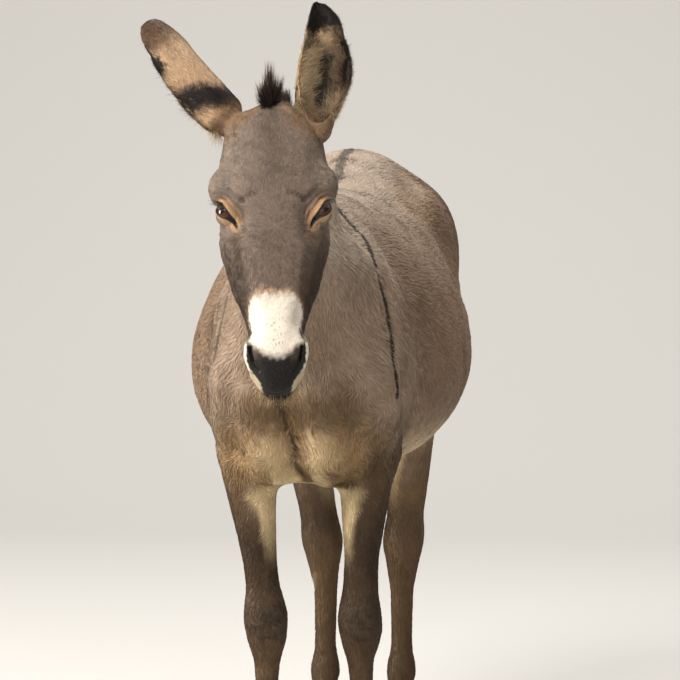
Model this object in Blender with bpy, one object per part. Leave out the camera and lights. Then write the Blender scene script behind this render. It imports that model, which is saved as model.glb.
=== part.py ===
"""A standing donkey, life size, as a museum shows one: lofted and blended whole, then parted with thin cuts.

The nose points to -Y, the animal's left is +X and the hooves stand on Z = 0. All sizes are in metres.
"""

import math

import bmesh
import bpy
import numpy as np
from mathutils import Matrix, Vector

# Driving dimensions of the animal, coat included.
HEAD_TILT = math.radians(23)
HEAD_YAW = math.radians(6.3)
HEAD_ROLL = math.radians(-1.3)
POLL = Vector((-0.014, -0.690, 1.202))
EAR_LENGTH = 0.235
EAR_WALL = 0.0065
EYE_RADIUS = 0.0200
HOOF_TOP = 0.060
GAP = 0.0003
SWELL = 0.0008

# How the blended body is made: the voxel of the blend, the rounds of smoothing and how many triangles stay.
BLEND_VOXEL = 0.008
ALL_SMOOTHING = 5
SOFT_SMOOTHING = 60
BODY_TRIANGLES = 3550
HEAD_SHARE = 0.5
HEAD_DETAIL = 0.01
RING_POINTS = 40
LEG_RING_POINTS = 24
HAIR_RING_POINTS = 12
HOOF_RING_POINTS = 20
EAR_ARC_POINTS = 9
EAR_FLOOR = 1

# Moves the middle of the animal's box over the frame's origin.
FRAME_SHIFT = Vector((0.0, 0.1230, 0.0))

COLOURS = {
    "coat": (0.30, 0.25, 0.21),
    "face": (0.22, 0.185, 0.165),
    "leg": (0.24, 0.19, 0.155),
    "dark_hair": (0.06, 0.045, 0.04),
    "horn": (0.10, 0.09, 0.08),
    "eye": (0.03, 0.015, 0.008),
}
ROUGHNESS = {"coat": 0.85, "face": 0.85, "leg": 0.85, "dark_hair": 0.80, "horn": 0.55, "eye": 0.10}

X_AXIS, Y_AXIS, Z_AXIS = Vector((1, 0, 0)), Vector((0, 1, 0)), Vector((0, 0, 1))

# Trunk sections along Y: y, top, bottom, half width, height of the widest place, roundness above and below.
TRUNK_SECTIONS = (
    (-0.470, 0.775, 0.715, 0.030, 0.745, 2.0, 2.0),
    (-0.460, 0.835, 0.668, 0.078, 0.745, 2.0, 2.0),
    (-0.435, 0.900, 0.632, 0.114, 0.740, 2.0, 2.2),
    (-0.400, 0.955, 0.606, 0.140, 0.740, 1.9, 2.3),
    (-0.350, 1.005, 0.586, 0.160, 0.742, 1.8, 2.3),
    (-0.290, 1.037, 0.574, 0.173, 0.745, 1.7, 2.4),
    (-0.230, 1.052, 0.566, 0.187, 0.748, 1.6, 2.4),
    (-0.150, 1.050, 0.558, 0.212, 0.748, 1.65, 2.4),
    (-0.050, 1.044, 0.548, 0.235, 0.748, 1.7, 2.3),
    (0.050, 1.042, 0.538, 0.245, 0.748, 1.7, 2.1),
    (0.150, 1.050, 0.542, 0.242, 0.752, 1.75, 2.1),
    (0.230, 1.068, 0.560, 0.227, 0.775, 1.8, 2.0),
    (0.300, 1.090, 0.595, 0.208, 0.815, 1.85, 2.0),
    (0.360, 1.097, 0.635, 0.194, 0.850, 1.9, 2.1),
    (0.420, 1.086, 0.675, 0.178, 0.865, 1.95, 2.2),
    (0.470, 1.048, 0.715, 0.150, 0.870, 2.0, 2.2),
    (0.510, 0.998, 0.760, 0.110, 0.870, 2.1, 2.1),
    (0.537, 0.935, 0.810, 0.056, 0.870, 2.0, 2.0),
)

# Neck sections from the withers to the poll: y, z, half width, depth to the crest and depth to the throat.
NECK_SECTIONS = (
    (-0.180, 0.850, 0.120, 0.190, 0.190),
    (-0.280, 0.870, 0.128, 0.175, 0.190),
    (-0.360, 0.912, 0.120, 0.155, 0.178),
    (-0.440, 0.966, 0.104, 0.134, 0.158),
    (-0.520, 1.022, 0.086, 0.120, 0.136),
    (-0.590, 1.068, 0.072, 0.112, 0.120),
    (-0.650, 1.105, 0.064, 0.106, 0.110),
)
NECK_TILT = math.radians(35)

# Head sections down the face: distance from the poll, how far the widest place stands out of the face line,
# half width, rise to the face, drop to the jaw, roundness of the face and of the jaw.
HEAD_SECTIONS = (
    (-0.014, -0.075, 0.036, 0.036, 0.046, 2.0, 2.0),
    (0.000, -0.072, 0.058, 0.060, 0.074, 2.0, 2.0),
    (0.028, -0.068, 0.077, 0.066, 0.100, 2.2, 2.0),
    (0.065, -0.062, 0.084, 0.068, 0.132, 2.5, 2.0),
    (0.105, -0.056, 0.088, 0.066, 0.158, 2.7, 1.9),
    (0.145, -0.054, 0.087, 0.063, 0.174, 2.7, 1.9),
    (0.185, -0.055, 0.084, 0.059, 0.170, 2.6, 1.9),
    (0.222, -0.056, 0.080, 0.057, 0.147, 2.5, 1.9),
    (0.255, -0.056, 0.074, 0.055, 0.121, 2.3, 2.0),
    (0.290, -0.054, 0.065, 0.053, 0.100, 2.2, 2.0),
    (0.329, -0.051, 0.052, 0.051, 0.084, 2.2, 2.1),
    (0.355, -0.049, 0.0445, 0.050, 0.074, 2.2, 2.2),
    (0.385, -0.048, 0.0470, 0.047, 0.064, 2.2, 2.2),
    (0.412, -0.048, 0.0465, 0.041, 0.058, 2.2, 2.2),
    (0.438, -0.051, 0.0380, 0.031, 0.050, 2.1, 2.1),
    (0.455, -0.055, 0.0260, 0.018, 0.034, 2.0, 2.0),
)

# Rounded masses of the head: their middle across, down and out of the face, and their three radii. The pairs
# stand on both sides.
HEAD_PAIRS = {
    "brow": ((0.080, 0.122, -0.034), (0.026, 0.034, 0.027)),
    "cheek_arch": ((0.074, 0.190, -0.064), (0.015, 0.055, 0.018)),
    "cheek": ((0.046, 0.150, -0.130), (0.037, 0.078, 0.084)),
    "nostril_wing": ((0.032, 0.390, -0.036), (0.022, 0.032, 0.026)),
    "ear_root": ((0.050, 0.020, -0.062), (0.030, 0.034, 0.036)),
}
HEAD_MIDDLES = {
    "upper_lip": ((0.0, 0.412, -0.036), (0.034, 0.028, 0.026)),
    "chin": ((0.0, 0.408, -0.090), (0.026, 0.028, 0.020)),
    "forehead": ((0.0, 0.035, -0.034), (0.050, 0.050, 0.028)),
}

# The muscle masses that stand out of the trunk on both sides: middle, radii and lean about X in degrees.
MUSCLES = {
    "shoulder_blade": ((0.074, -0.335, 0.840), (0.062, 0.110, 0.180), -33),
    "shoulder_point": ((0.102, -0.395, 0.725), (0.060, 0.064, 0.080), 0),
    "upper_arm": ((0.114, -0.295, 0.690), (0.054, 0.110, 0.110), 0),
    "breast": ((0.048, -0.394, 0.700), (0.066, 0.070, 0.090), 0),
    "brisket": ((0.052, -0.330, 0.640), (0.060, 0.105, 0.070), 0),
    "rump": ((0.088, 0.360, 0.900), (0.114, 0.160, 0.150), 0),
    "hip_bone": ((0.128, 0.265, 0.970), (0.040, 0.060, 0.048), 0),
    "buttock": ((0.086, 0.455, 0.865), (0.082, 0.094, 0.135), 0),
    "stifle": ((0.120, 0.300, 0.700), (0.054, 0.075, 0.090), 0),
}
# The point of the hock: its height, how far behind the leg's line and the radii of its knob.
HOCK_HEIGHT = 0.450
HOCK_BACK = 0.052
HOCK_RADII = (0.017, 0.020, 0.030)

# Leg sections from the body to the coronet: height, x, y, half width, reach forward and reach back. The x is
# that of a left leg, and each leg adds its own stance.
FORE_SECTIONS = (
    (0.740, 0.094, -0.330, 0.050, 0.078, 0.085),
    (0.660, 0.100, -0.318, 0.054, 0.070, 0.078),
    (0.600, 0.100, -0.306, 0.0520, 0.060, 0.066),
    (0.550, 0.096, -0.306, 0.0440, 0.052, 0.052),
    (0.500, 0.091, -0.309, 0.0375, 0.044, 0.041),
    (0.440, 0.086, -0.311, 0.0305, 0.036, 0.033),
    (0.390, 0.082, -0.312, 0.0300, 0.032, 0.029),
    (0.355, 0.080, -0.312, 0.0345, 0.034, 0.031),
    (0.322, 0.079, -0.312, 0.0380, 0.037, 0.034),
    (0.290, 0.079, -0.311, 0.0345, 0.031, 0.036),
    (0.262, 0.079, -0.310, 0.0245, 0.023, 0.029),
    (0.220, 0.080, -0.309, 0.0200, 0.020, 0.026),
    (0.180, 0.081, -0.308, 0.0200, 0.020, 0.027),
    (0.145, 0.082, -0.309, 0.0265, 0.026, 0.034),
    (0.118, 0.083, -0.316, 0.0245, 0.027, 0.029),
    (0.092, 0.084, -0.326, 0.0245, 0.027, 0.025),
    (0.068, 0.085, -0.336, 0.0300, 0.031, 0.031),
    (0.040, 0.085, -0.345, 0.0310, 0.033, 0.033),
)
HIND_SECTIONS = (
    (0.900, 0.095, 0.370, 0.080, 0.115, 0.140),
    (0.820, 0.108, 0.380, 0.078, 0.135, 0.158),
    (0.740, 0.112, 0.385, 0.074, 0.138, 0.156),
    (0.670, 0.108, 0.385, 0.064, 0.122, 0.130),
    (0.610, 0.100, 0.395, 0.052, 0.098, 0.098),
    (0.555, 0.092, 0.412, 0.043, 0.072, 0.072),
    (0.500, 0.085, 0.432, 0.0390, 0.052, 0.056),
    (0.455, 0.079, 0.450, 0.0345, 0.040, 0.058),
    (0.425, 0.076, 0.457, 0.0335, 0.037, 0.052),
    (0.385, 0.073, 0.459, 0.0350, 0.037, 0.038),
    (0.345, 0.072, 0.455, 0.0300, 0.031, 0.032),
    (0.300, 0.071, 0.453, 0.0230, 0.023, 0.029),
    (0.230, 0.071, 0.449, 0.0205, 0.021, 0.027),
    (0.180, 0.071, 0.446, 0.0210, 0.022, 0.029),
    (0.145, 0.071, 0.442, 0.0265, 0.027, 0.034),
    (0.118, 0.071, 0.433, 0.0235, 0.027, 0.028),
    (0.092, 0.071, 0.423, 0.0235, 0.027, 0.025),
    (0.068, 0.071, 0.413, 0.0285, 0.030, 0.030),
    (0.040, 0.071, 0.403, 0.0295, 0.032, 0.032),
)

# Below the first height a leg stands on its foot's x, above the second on its top's x.
FOOT_STANCE_TOP = 0.30
TOP_STANCE_FOOT = 0.60

# Stance of each leg: its side, how far its top and its foot stand off the usual x, and how far its foot is
# set forward.
STANCES = {
    "fore_left": (1, -0.002, 0.008, 0.000),
    "fore_right": (-1, 0.006, -0.008, 0.004),
    "hind_left": (1, 0.012, 0.013, 0.000),
    "hind_right": (-1, 0.002, -0.013, 0.006),
}

# Tail sections: height, y, half width, half depth.
DOCK_SECTIONS = (
    (0.990, 0.478, 0.018, 0.020),
    (0.965, 0.506, 0.024, 0.024),
    (0.930, 0.533, 0.025, 0.023),
    (0.880, 0.554, 0.023, 0.021),
    (0.800, 0.565, 0.019, 0.018),
    (0.700, 0.567, 0.016, 0.016),
    (0.600, 0.566, 0.015, 0.015),
    (0.520, 0.565, 0.016, 0.016),
)
SWITCH_SECTIONS = (
    (0.520, 0.565, 0.016, 0.016),
    (0.490, 0.565, 0.023, 0.022),
    (0.440, 0.566, 0.031, 0.028),
    (0.380, 0.567, 0.034, 0.030),
    (0.320, 0.567, 0.030, 0.026),
    (0.270, 0.566, 0.021, 0.019),
    (0.235, 0.566, 0.009, 0.008),
)

# The eye's place: across, down and out of the face from the poll.
EYE_PLACE = (0.070, 0.166, -0.029)

# Ear sections from root to tip: share of the length, half angle of the wall round its hollow, and radius.
EAR_SECTIONS = (
    (0.00, 168, 0.0215),
    (0.10, 155, 0.0255),
    (0.20, 132, 0.0320),
    (0.33, 108, 0.0390),
    (0.48, 90, 0.0430),
    (0.63, 76, 0.0435),
    (0.77, 64, 0.0395),
    (0.88, 56, 0.0300),
    (0.95, 52, 0.0190),
    (1.00, 50, 0.0070),
)
EAR_BOW = 0.012

# Each ear: its root on the head, which way it points and which way its hollow opens, all in the head's frame,
# how far its tip leans sideways and how wide the hollow spreads. The right ear is laid out and turned back.
EARS = {
    "ear_left": ((0.064, 0.038, -0.070), (0.17, -1.0, 0.02), (0.10, 0.0, 1.0), -0.012, 1.0),
    "ear_right": ((-0.044, 0.008, -0.064), (-0.655, -0.735, 0.09), (-0.46, 0.22, -0.86), 0.004, 0.84),
}

# Mane sections: y, x, height of the roots, half thickness and height of the hair. It is ragged by a tenth.
MANE_SECTIONS = (
    (-0.630, -0.009, 1.174, 0.013, 0.060),
    (-0.590, -0.007, 1.155, 0.014, 0.060),
    (-0.530, -0.003, 1.122, 0.013, 0.058),
    (-0.460, 0.000, 1.085, 0.012, 0.055),
    (-0.380, 0.000, 1.045, 0.011, 0.050),
    (-0.300, 0.000, 1.022, 0.009, 0.042),
    (-0.230, 0.000, 1.017, 0.006, 0.034),
)
MANE_ROOT = 0.030
MANE_RAGGED = 0.10

# Forelock sections: height over its place, half width, half depth and lean back.
FORELOCK_PLACE = (-0.003, 0.000, -0.030)
FORELOCK_SECTIONS = (
    (-0.030, 0.012, 0.014, 0.000),
    (0.000, 0.018, 0.018, 0.000),
    (0.030, 0.024, 0.020, -0.002),
    (0.055, 0.022, 0.018, -0.005),
    (0.075, 0.013, 0.012, -0.008),
    (0.088, 0.004, 0.004, -0.010),
)

# Hoof sections: height, shift forward of the coronet, half width, reach to the toe and to the heel.
HOOF_SECTIONS = (
    (0.000, 0.012, 0.0370, 0.0440, 0.0400),
    (0.004, 0.012, 0.0378, 0.0450, 0.0405),
    (0.030, 0.006, 0.0345, 0.0400, 0.0375),
    (0.052, 0.001, 0.0318, 0.0352, 0.0345),
    (HOOF_TOP, 0.000, 0.0300, 0.0330, 0.0330),
)
HIND_HOOF_WIDTH = 0.94


def clear_scene():
    for old in list(bpy.data.objects):
        bpy.data.objects.remove(old)


def between(stations, steps):
    """The stations with steps - 1 more between each two, on a Catmull-Rom curve through each column."""
    rows = np.array(stations, float)
    padded = np.vstack([2 * rows[0] - rows[1], rows, 2 * rows[-1] - rows[-2]])
    found = []
    for i in range(len(rows) - 1):
        a, b, c, d = padded[i : i + 4]
        for step in range(steps):
            t = step / steps
            square, cube = 2 * a - 5 * b + 4 * c - d, 3 * b - a - 3 * c + d
            found.append(0.5 * (2 * b + (c - a) * t + square * t**2 + cube * t**3))
    found.append(rows[-1])
    return np.array(found)


def ring(centre, side, up, half_width, rise, drop, round_up=2.0, round_down=2.0, count=RING_POINTS):
    """A closed outline: half an egg of height rise over its widest line and half of height drop under it."""
    points = []
    for i in range(count):
        angle = 2 * math.pi * i / count
        cosine, sine = math.cos(angle), math.sin(angle)
        power, height = (round_up, rise) if sine >= 0 else (round_down, drop)
        across = half_width * math.copysign(abs(cosine) ** (2 / power), cosine)
        along = height * math.copysign(abs(sine) ** (2 / power), sine)
        points.append(centre + side * across + up * along)
    return points


def loft(bm, rings):
    """Joins the rings, each with the same number of points, into a closed tube."""
    rows = [[bm.verts.new(point) for point in points] for points in rings]
    count = len(rows[0])
    for low, high in zip(rows, rows[1:]):
        for i in range(count):
            j = (i + 1) % count
            bm.faces.new((low[i], low[j], high[j], high[i]))
    bm.faces.new(list(reversed(rows[0])))
    bm.faces.new(rows[-1])


def ellipsoid(bm, centre, radii, axes=None, detail=3):
    """An ellipsoid whose radii lie along the columns of axes, or along X, Y and Z."""
    turn = (axes or Matrix.Identity(3)).to_4x4()
    matrix = Matrix.Translation(centre) @ turn @ Matrix.Diagonal((*radii, 1))
    bmesh.ops.create_icosphere(bm, subdivisions=detail, radius=1, matrix=matrix)


def mesh_object(name, bm):
    """Closes the bmesh into an object with its faces pointing out."""
    bmesh.ops.recalc_face_normals(bm, faces=bm.faces)
    mesh = bpy.data.meshes.new(name)
    bm.to_mesh(mesh)
    bm.free()
    made = bpy.data.objects.new(name, mesh)
    bpy.context.scene.collection.objects.link(made)
    return made


def apply_modifiers(obj):
    """Makes the object's evaluated mesh its own mesh."""
    bpy.context.view_layer.update()
    evaluated = obj.evaluated_get(bpy.context.evaluated_depsgraph_get())
    mesh = bpy.data.meshes.new_from_object(evaluated)
    obj.modifiers.clear()
    obj.data = mesh
    return obj


# The head has a frame of its own: side, down the face (u) and out of the face (n), from the poll.
HEAD_TURN = (
    Matrix.Rotation(HEAD_YAW, 3, "Z")
    @ Matrix.Rotation(HEAD_ROLL, 3, "Y")
    @ Matrix.Rotation(-HEAD_TILT, 3, "X")
)
HEAD_SIDE = HEAD_TURN @ Vector((1, 0, 0))
HEAD_DOWN = HEAD_TURN @ Vector((0, 0, -1))
HEAD_OUT = HEAD_TURN @ Vector((0, -1, 0))
HEAD_AXES = Matrix((HEAD_SIDE, HEAD_DOWN, HEAD_OUT)).transposed()


def on_head(across, down, out):
    """The place that lies across, down the face and out of it, from the poll."""
    return POLL + HEAD_SIDE * across + HEAD_DOWN * down + HEAD_OUT * out


def add_trunk(bm):
    rings = []
    for y, top, bottom, width, widest, round_up, round_down in between(TRUNK_SECTIONS, 3):
        sizes = (width, top - widest, widest - bottom, round_up, round_down)
        rings.append(ring(Vector((0, y, widest)), X_AXIS, Z_AXIS, *sizes))
    loft(bm, rings)


def add_neck(bm):
    up = Vector((0, math.sin(NECK_TILT), math.cos(NECK_TILT)))
    rings = []
    for y, z, width, crest, throat in between(NECK_SECTIONS, 3):
        rings.append(ring(Vector((0, y, z)), X_AXIS, up, width, crest, throat, 1.75, 2.0))
    loft(bm, rings)


def add_head(bm):
    rings = []
    for down, out, width, rise, drop, round_face, round_jaw in between(HEAD_SECTIONS, 3):
        sizes = (width, rise, drop, round_face, round_jaw)
        rings.append(ring(on_head(0, down, out), HEAD_SIDE, HEAD_OUT, *sizes))
    loft(bm, rings)
    for (across, down, out), radii in HEAD_PAIRS.values():
        for side in (-1, 1):
            ellipsoid(bm, on_head(side * across, down, out), radii, HEAD_AXES)
    for middle, radii in HEAD_MIDDLES.values():
        ellipsoid(bm, on_head(*middle), radii, HEAD_AXES)


def leg_rows(name):
    """The leg's sections, denser, and moved to the leg's own stance."""
    side, top_shift, foot_shift, forward = STANCES[name]
    rows = between(FORE_SECTIONS if name.startswith("fore") else HIND_SECTIONS, 3)
    share = np.clip((rows[:, 0] - FOOT_STANCE_TOP) / (TOP_STANCE_FOOT - FOOT_STANCE_TOP), 0, 1)
    rows[:, 1] = side * (rows[:, 1] + top_shift * share + foot_shift * (1 - share))
    rows[:, 2] -= forward * (1 - share)
    return rows


def add_leg(bm, name):
    rows = leg_rows(name)
    rings = [
        ring(Vector((x, y, z)), X_AXIS, -Y_AXIS, width, front, back, 2.15, 2.0, LEG_RING_POINTS)
        for z, x, y, width, front, back in rows
    ]
    loft(bm, rings)
    if name.startswith("hind"):
        _, x, y, *_ = rows[np.argmin(abs(rows[:, 0] - HOCK_HEIGHT))]
        ellipsoid(bm, (x, y + HOCK_BACK, HOCK_HEIGHT), HOCK_RADII, detail=2)


def add_muscles(bm):
    """The masses that stand out of the lofted trunk: shoulders, breast, rump and thighs."""
    for (x, y, z), radii, lean in MUSCLES.values():
        for side in (-1, 1):
            ellipsoid(bm, (side * x, y, z), radii, Matrix.Rotation(math.radians(lean), 3, "X"))


def ramp(value, low, high):
    """0 below low, 1 above high and a straight slope between."""
    return min(max((value - low) / (high - low), 0.0), 1.0)


def behind_face(point):
    """How far a place lies behind the line of the face."""
    return -(point - POLL).dot(HEAD_OUT)


def soft_share(point):
    """How much a place is smoothed: all over the trunk and neck, not on the head or the lower legs."""
    behind_head = max(ramp(behind_face(point), 0.17, 0.27), ramp(point.y, -0.58, -0.48))
    return min(ramp(point.z, 0.50, 0.66), behind_head)


def coarse_share(point):
    """How freely a place may lose triangles: less on the head than elsewhere."""
    return HEAD_SHARE if point.y < -0.60 and behind_face(point) < 0.20 else 1.0


def weigh(obj, name, share_at):
    """Gives the object a vertex group whose weights are share_at of each vertex's place."""
    group = obj.vertex_groups.new(name=name)
    for vertex in obj.data.vertices:
        group.add([vertex.index], share_at(vertex.co), "REPLACE")


def blended_body():
    """The whole animal but for ears, hair, tail and hooves, as one smooth closed mesh of few triangles."""
    bm = bmesh.new()
    add_trunk(bm)
    add_neck(bm)
    add_head(bm)
    add_muscles(bm)
    for name in STANCES:
        add_leg(bm, name)
    body = mesh_object("body", bm)
    blend = body.modifiers.new("blend", "REMESH")
    blend.mode = "VOXEL"
    blend.voxel_size = BLEND_VOXEL
    apply_modifiers(body)
    weigh(body, "soft", soft_share)
    weigh(body, "coarse", coarse_share)
    for group, rounds in (("", ALL_SMOOTHING), ("soft", SOFT_SMOOTHING)):
        smooth = body.modifiers.new("smooth", "SMOOTH")
        smooth.factor = 0.5
        smooth.iterations = rounds
        smooth.vertex_group = group
    apply_modifiers(body)
    few = body.modifiers.new("few", "DECIMATE")
    few.ratio = BODY_TRIANGLES / (2 * len(body.data.polygons))
    few.vertex_group = "coarse"
    few.vertex_group_factor = HEAD_DETAIL
    return apply_modifiers(body)


# The cuts that part the body: a place on each plane and the plane's normal.
CUTS = {
    "throat": (Vector((0, -0.545, 0.940)), Vector((0, -0.975, -0.223))),
    "under_jaw": (Vector((0, 0, 0.600)), Z_AXIS),
    "shoulder": (Vector((0, -0.300, 1.040)), Vector((0, -0.837, 0.547))),
    "girth": (Vector((0, -0.170, 0)), -Y_AXIS),
    "flank": (Vector((0, 0.240, 0)), -Y_AXIS),
    "elbow": (Vector((0, 0, 0.548)), Z_AXIS),
    "stifle": (Vector((0, 0.250, 0.562)), Vector((0, -0.178, 0.984))),
    "knee": (Vector((0, 0, 0.286)), Z_AXIS),
    "hock": (Vector((0, 0, 0.350)), Z_AXIS),
    "coronet": (Vector((0, 0, HOOF_TOP + GAP / 2)), Z_AXIS),
    "middle": (Vector((0, 0, 0)), X_AXIS),
}

# Each piece of the body as the sides of the cuts that it lies on: +1 is where the normal points.
BODY_PIECES = {
    "head": {"throat": 1, "under_jaw": 1},
    "neck": {"throat": -1, "shoulder": 1},
    "chest": {"shoulder": -1, "girth": 1, "elbow": 1},
    "barrel": {"girth": -1, "flank": 1},
    "hindquarters": {"flank": -1, "stifle": 1},
}
for leg, (leg_side, *_) in STANCES.items():
    if leg.startswith("fore"):
        own, top, joint, upper = {"girth": 1, "middle": leg_side}, "elbow", "knee", "_forearm"
    else:
        own, top, joint, upper = {"flank": -1, "middle": leg_side}, "stifle", "hock", "_gaskin"
    BODY_PIECES[leg + upper] = {**own, top: -1, joint: 1}
    BODY_PIECES[leg + "_cannon"] = {**own, joint: -1, "coronet": 1}


def body_piece(name, body):
    """The part of the body on its sides of the cuts, half a gap away from each, with the cuts closed."""
    bm = bmesh.new()
    bm.from_mesh(body.data)
    for cut, side in BODY_PIECES[name].items():
        place, normal = CUTS[cut]
        outward = -side * normal.normalized()
        bmesh.ops.bisect_plane(
            bm,
            geom=bm.verts[:] + bm.edges[:] + bm.faces[:],
            dist=1e-6,
            plane_co=place - outward * GAP / 2,
            plane_no=outward,
            clear_outer=True,
        )
        open_edges = [edge for edge in bm.edges if edge.is_boundary]
        bmesh.ops.holes_fill(bm, edges=open_edges, sides=0)
    return mesh_object(name, bm)


def cut_away(obj, cutter):
    """Cuts the cutter's shape out of the object."""
    cut = obj.modifiers.new("cut", "BOOLEAN")
    cut.operation = "DIFFERENCE"
    cut.object = cutter
    return apply_modifiers(obj)


def swollen(body):
    """A copy of the body that stands a little out of it all over, to cut what rests on it."""
    cutter = body.copy()
    cutter.data = body.data.copy()
    cutter.name = "swollen_body"
    bpy.context.scene.collection.objects.link(cutter)
    swell = cutter.modifiers.new("swell", "DISPLACE")
    swell.strength = SWELL
    swell.mid_level = 0.0
    return apply_modifiers(cutter)


def ear_walls(bm, name):
    """The vertices of an ear's outer and inner wall, one row of each for each of its sections."""
    root, pointing, opening, lean, spread = EARS[name]
    axis = (HEAD_AXES @ Vector(pointing)).normalized()
    front = HEAD_AXES @ Vector(opening)
    front = (front - axis * front.dot(axis)).normalized()
    side = axis.cross(front)
    if side.dot(HEAD_SIDE) < 0:
        side = -side
    outer, inner = [], []
    for share, half_angle, radius in EAR_SECTIONS:
        bow = EAR_BOW * math.sin(math.pi * share)
        spine = on_head(*root) + axis * (EAR_LENGTH * share) + side * lean * share**2 - front * bow
        wall = EAR_WALL * (1.15 - 0.45 * share)
        rows = ([], [])
        for i in range(EAR_ARC_POINTS + 1):
            angle = math.radians(half_angle) * (2 * i / EAR_ARC_POINTS - 1)
            out = side * math.sin(angle) * spread - front * math.cos(angle)
            rows[0].append(bm.verts.new(spine + front * radius + out * (radius + wall / 2)))
            rows[1].append(bm.verts.new(spine + front * radius + out * max(radius - wall / 2, radius * 0.3)))
        outer.append(rows[0])
        inner.append(rows[1])
    return outer, inner


def add_ear(name):
    """A leaf of gristle rolled into a cup: closed round its root, open over its upper part and pointed."""
    bm = bmesh.new()
    outer, inner = ear_walls(bm, name)
    last = EAR_ARC_POINTS
    for i in range(len(outer) - 1):
        for j in range(last):
            bm.faces.new((outer[i][j], outer[i][j + 1], outer[i + 1][j + 1], outer[i + 1][j]))
            if i >= EAR_FLOOR:
                bm.faces.new((inner[i][j], inner[i + 1][j], inner[i + 1][j + 1], inner[i][j + 1]))
        if i >= EAR_FLOOR:
            bm.faces.new((outer[i][0], outer[i + 1][0], inner[i + 1][0], inner[i][0]))
            bm.faces.new((outer[i][last], inner[i][last], inner[i + 1][last], outer[i + 1][last]))
        else:
            bm.faces.new((outer[i][last], outer[i][0], outer[i + 1][0], outer[i + 1][last]))
    bm.faces.new(outer[0])
    bm.faces.new(outer[-1] + inner[-1][::-1])
    bm.faces.new([outer[EAR_FLOOR][0]] + inner[EAR_FLOOR] + [outer[EAR_FLOOR][last]])
    for row in inner[:EAR_FLOOR]:
        for vertex in row:
            bm.verts.remove(vertex)
    return mesh_object(name, bm)


def add_ball(name, side, radius):
    across, down, out = EYE_PLACE
    bm = bmesh.new()
    ellipsoid(bm, on_head(side * across, down, out), (radius,) * 3, HEAD_AXES)
    return mesh_object(name, bm)


def add_mane():
    """The upright brush of the crest, from behind the poll to the withers, with a ragged edge."""
    bm = bmesh.new()
    rings = []
    rows = between(MANE_SECTIONS, 3)
    for i, (y, x, z, width, height) in enumerate(rows):
        before, after = rows[max(i - 1, 0)], rows[min(i + 1, len(rows) - 1)]
        along = Vector((0, after[0] - before[0], after[2] - before[2])).normalized()
        up = Vector((0, -along.z, along.y))
        ragged = 1.0 + MANE_RAGGED * math.sin(2.4 * i) * math.sin(0.9 * i + 1.0)
        place = Vector((x, y, z))
        rings.append(ring(place, X_AXIS, up, width, height * ragged, MANE_ROOT, 2.6, 2.0, HAIR_RING_POINTS))
    loft(bm, rings)
    return mesh_object("mane", bm)


def add_forelock():
    """The tuft that stands up between the ears."""
    bm = bmesh.new()
    rings = []
    for height, half_width, half_depth, lean in between(FORELOCK_SECTIONS, 2):
        place = on_head(*FORELOCK_PLACE) + Vector((0, lean, height))
        sizes = (half_width, half_depth, half_depth, 2.0, 2.0, HAIR_RING_POINTS)
        rings.append(ring(place, HEAD_SIDE, -Y_AXIS, *sizes))
    loft(bm, rings)
    return mesh_object("forelock", bm)


def add_tail_piece(name, sections, lift):
    bm = bmesh.new()
    rings = []
    for z, y, half_width, half_depth in between(sections, 2):
        sizes = (half_width, half_depth, half_depth, 2.0, 2.0, HAIR_RING_POINTS)
        rings.append(ring(Vector((0, y, z + lift)), X_AXIS, Y_AXIS, *sizes))
    loft(bm, rings)
    return mesh_object(name, bm)


def add_hoof(leg):
    """A small upright hoof with a flat sole, a steep front and low heels."""
    rows = leg_rows(leg)[::-1]
    x, y = (np.interp(HOOF_TOP, rows[:, 0], rows[:, column]) for column in (1, 2))
    narrow = 1.0 if leg.startswith("fore") else HIND_HOOF_WIDTH
    bm = bmesh.new()
    rings = []
    for height, forward, half_width, toe, heel in HOOF_SECTIONS:
        sizes = (half_width * narrow, toe, heel, 2.1, 2.6, HOOF_RING_POINTS)
        rings.append(ring(Vector((x, y - forward, height)), X_AXIS, -Y_AXIS, *sizes))
    loft(bm, rings)
    return mesh_object(leg + "_hoof", bm)


def surface_of(name):
    """Which colour and roughness a node takes."""
    if name.endswith("_hoof"):
        return "horn"
    if name.startswith("eye"):
        return "eye"
    if name in ("mane", "forelock", "tail_switch"):
        return "dark_hair"
    if name in ("head", "ear_left", "ear_right"):
        return "face"
    return "leg" if name.startswith(("fore", "hind_")) else "coat"


def finish_look(obj):
    material = bpy.data.materials.new(obj.name)
    material.use_nodes = True
    shader = material.node_tree.nodes["Principled BSDF"]
    surface = surface_of(obj.name)
    shader.inputs["Base Color"].default_value = (*COLOURS[surface], 1.0)
    shader.inputs["Roughness"].default_value = ROUGHNESS[surface]
    obj.data.materials.clear()
    obj.data.materials.append(material)
    obj.data.shade_smooth()
    obj.data.set_sharp_from_angle(angle=math.radians(50))


def main():
    clear_scene()
    body = blended_body()
    cutter = swollen(body)
    pieces = [body_piece(name, body) for name in BODY_PIECES]
    for side, name in ((-1, "eye_right"), (1, "eye_left")):
        socket = add_ball("socket", side, EYE_RADIUS + 2 * GAP)
        cut_away(pieces[0], socket)
        bpy.data.objects.remove(socket)
        pieces.append(add_ball(name, side, EYE_RADIUS))
    resting = [add_ear(name) for name in EARS]
    resting += [add_forelock(), add_mane(), add_tail_piece("tail_dock", DOCK_SECTIONS, GAP)]
    pieces += [cut_away(piece, cutter) for piece in resting]
    pieces.append(add_tail_piece("tail_switch", SWITCH_SECTIONS, 0.0))
    pieces += [add_hoof(leg) for leg in STANCES]
    bpy.data.objects.remove(cutter)
    bpy.data.objects.remove(body)
    for piece in pieces:
        piece.data.transform(Matrix.Translation(FRAME_SHIFT))
        finish_look(piece)


main()
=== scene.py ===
import math

import bpy
import numpy as np
from mathutils import Matrix, Vector
from mathutils.bvhtree import BVHTree


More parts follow.
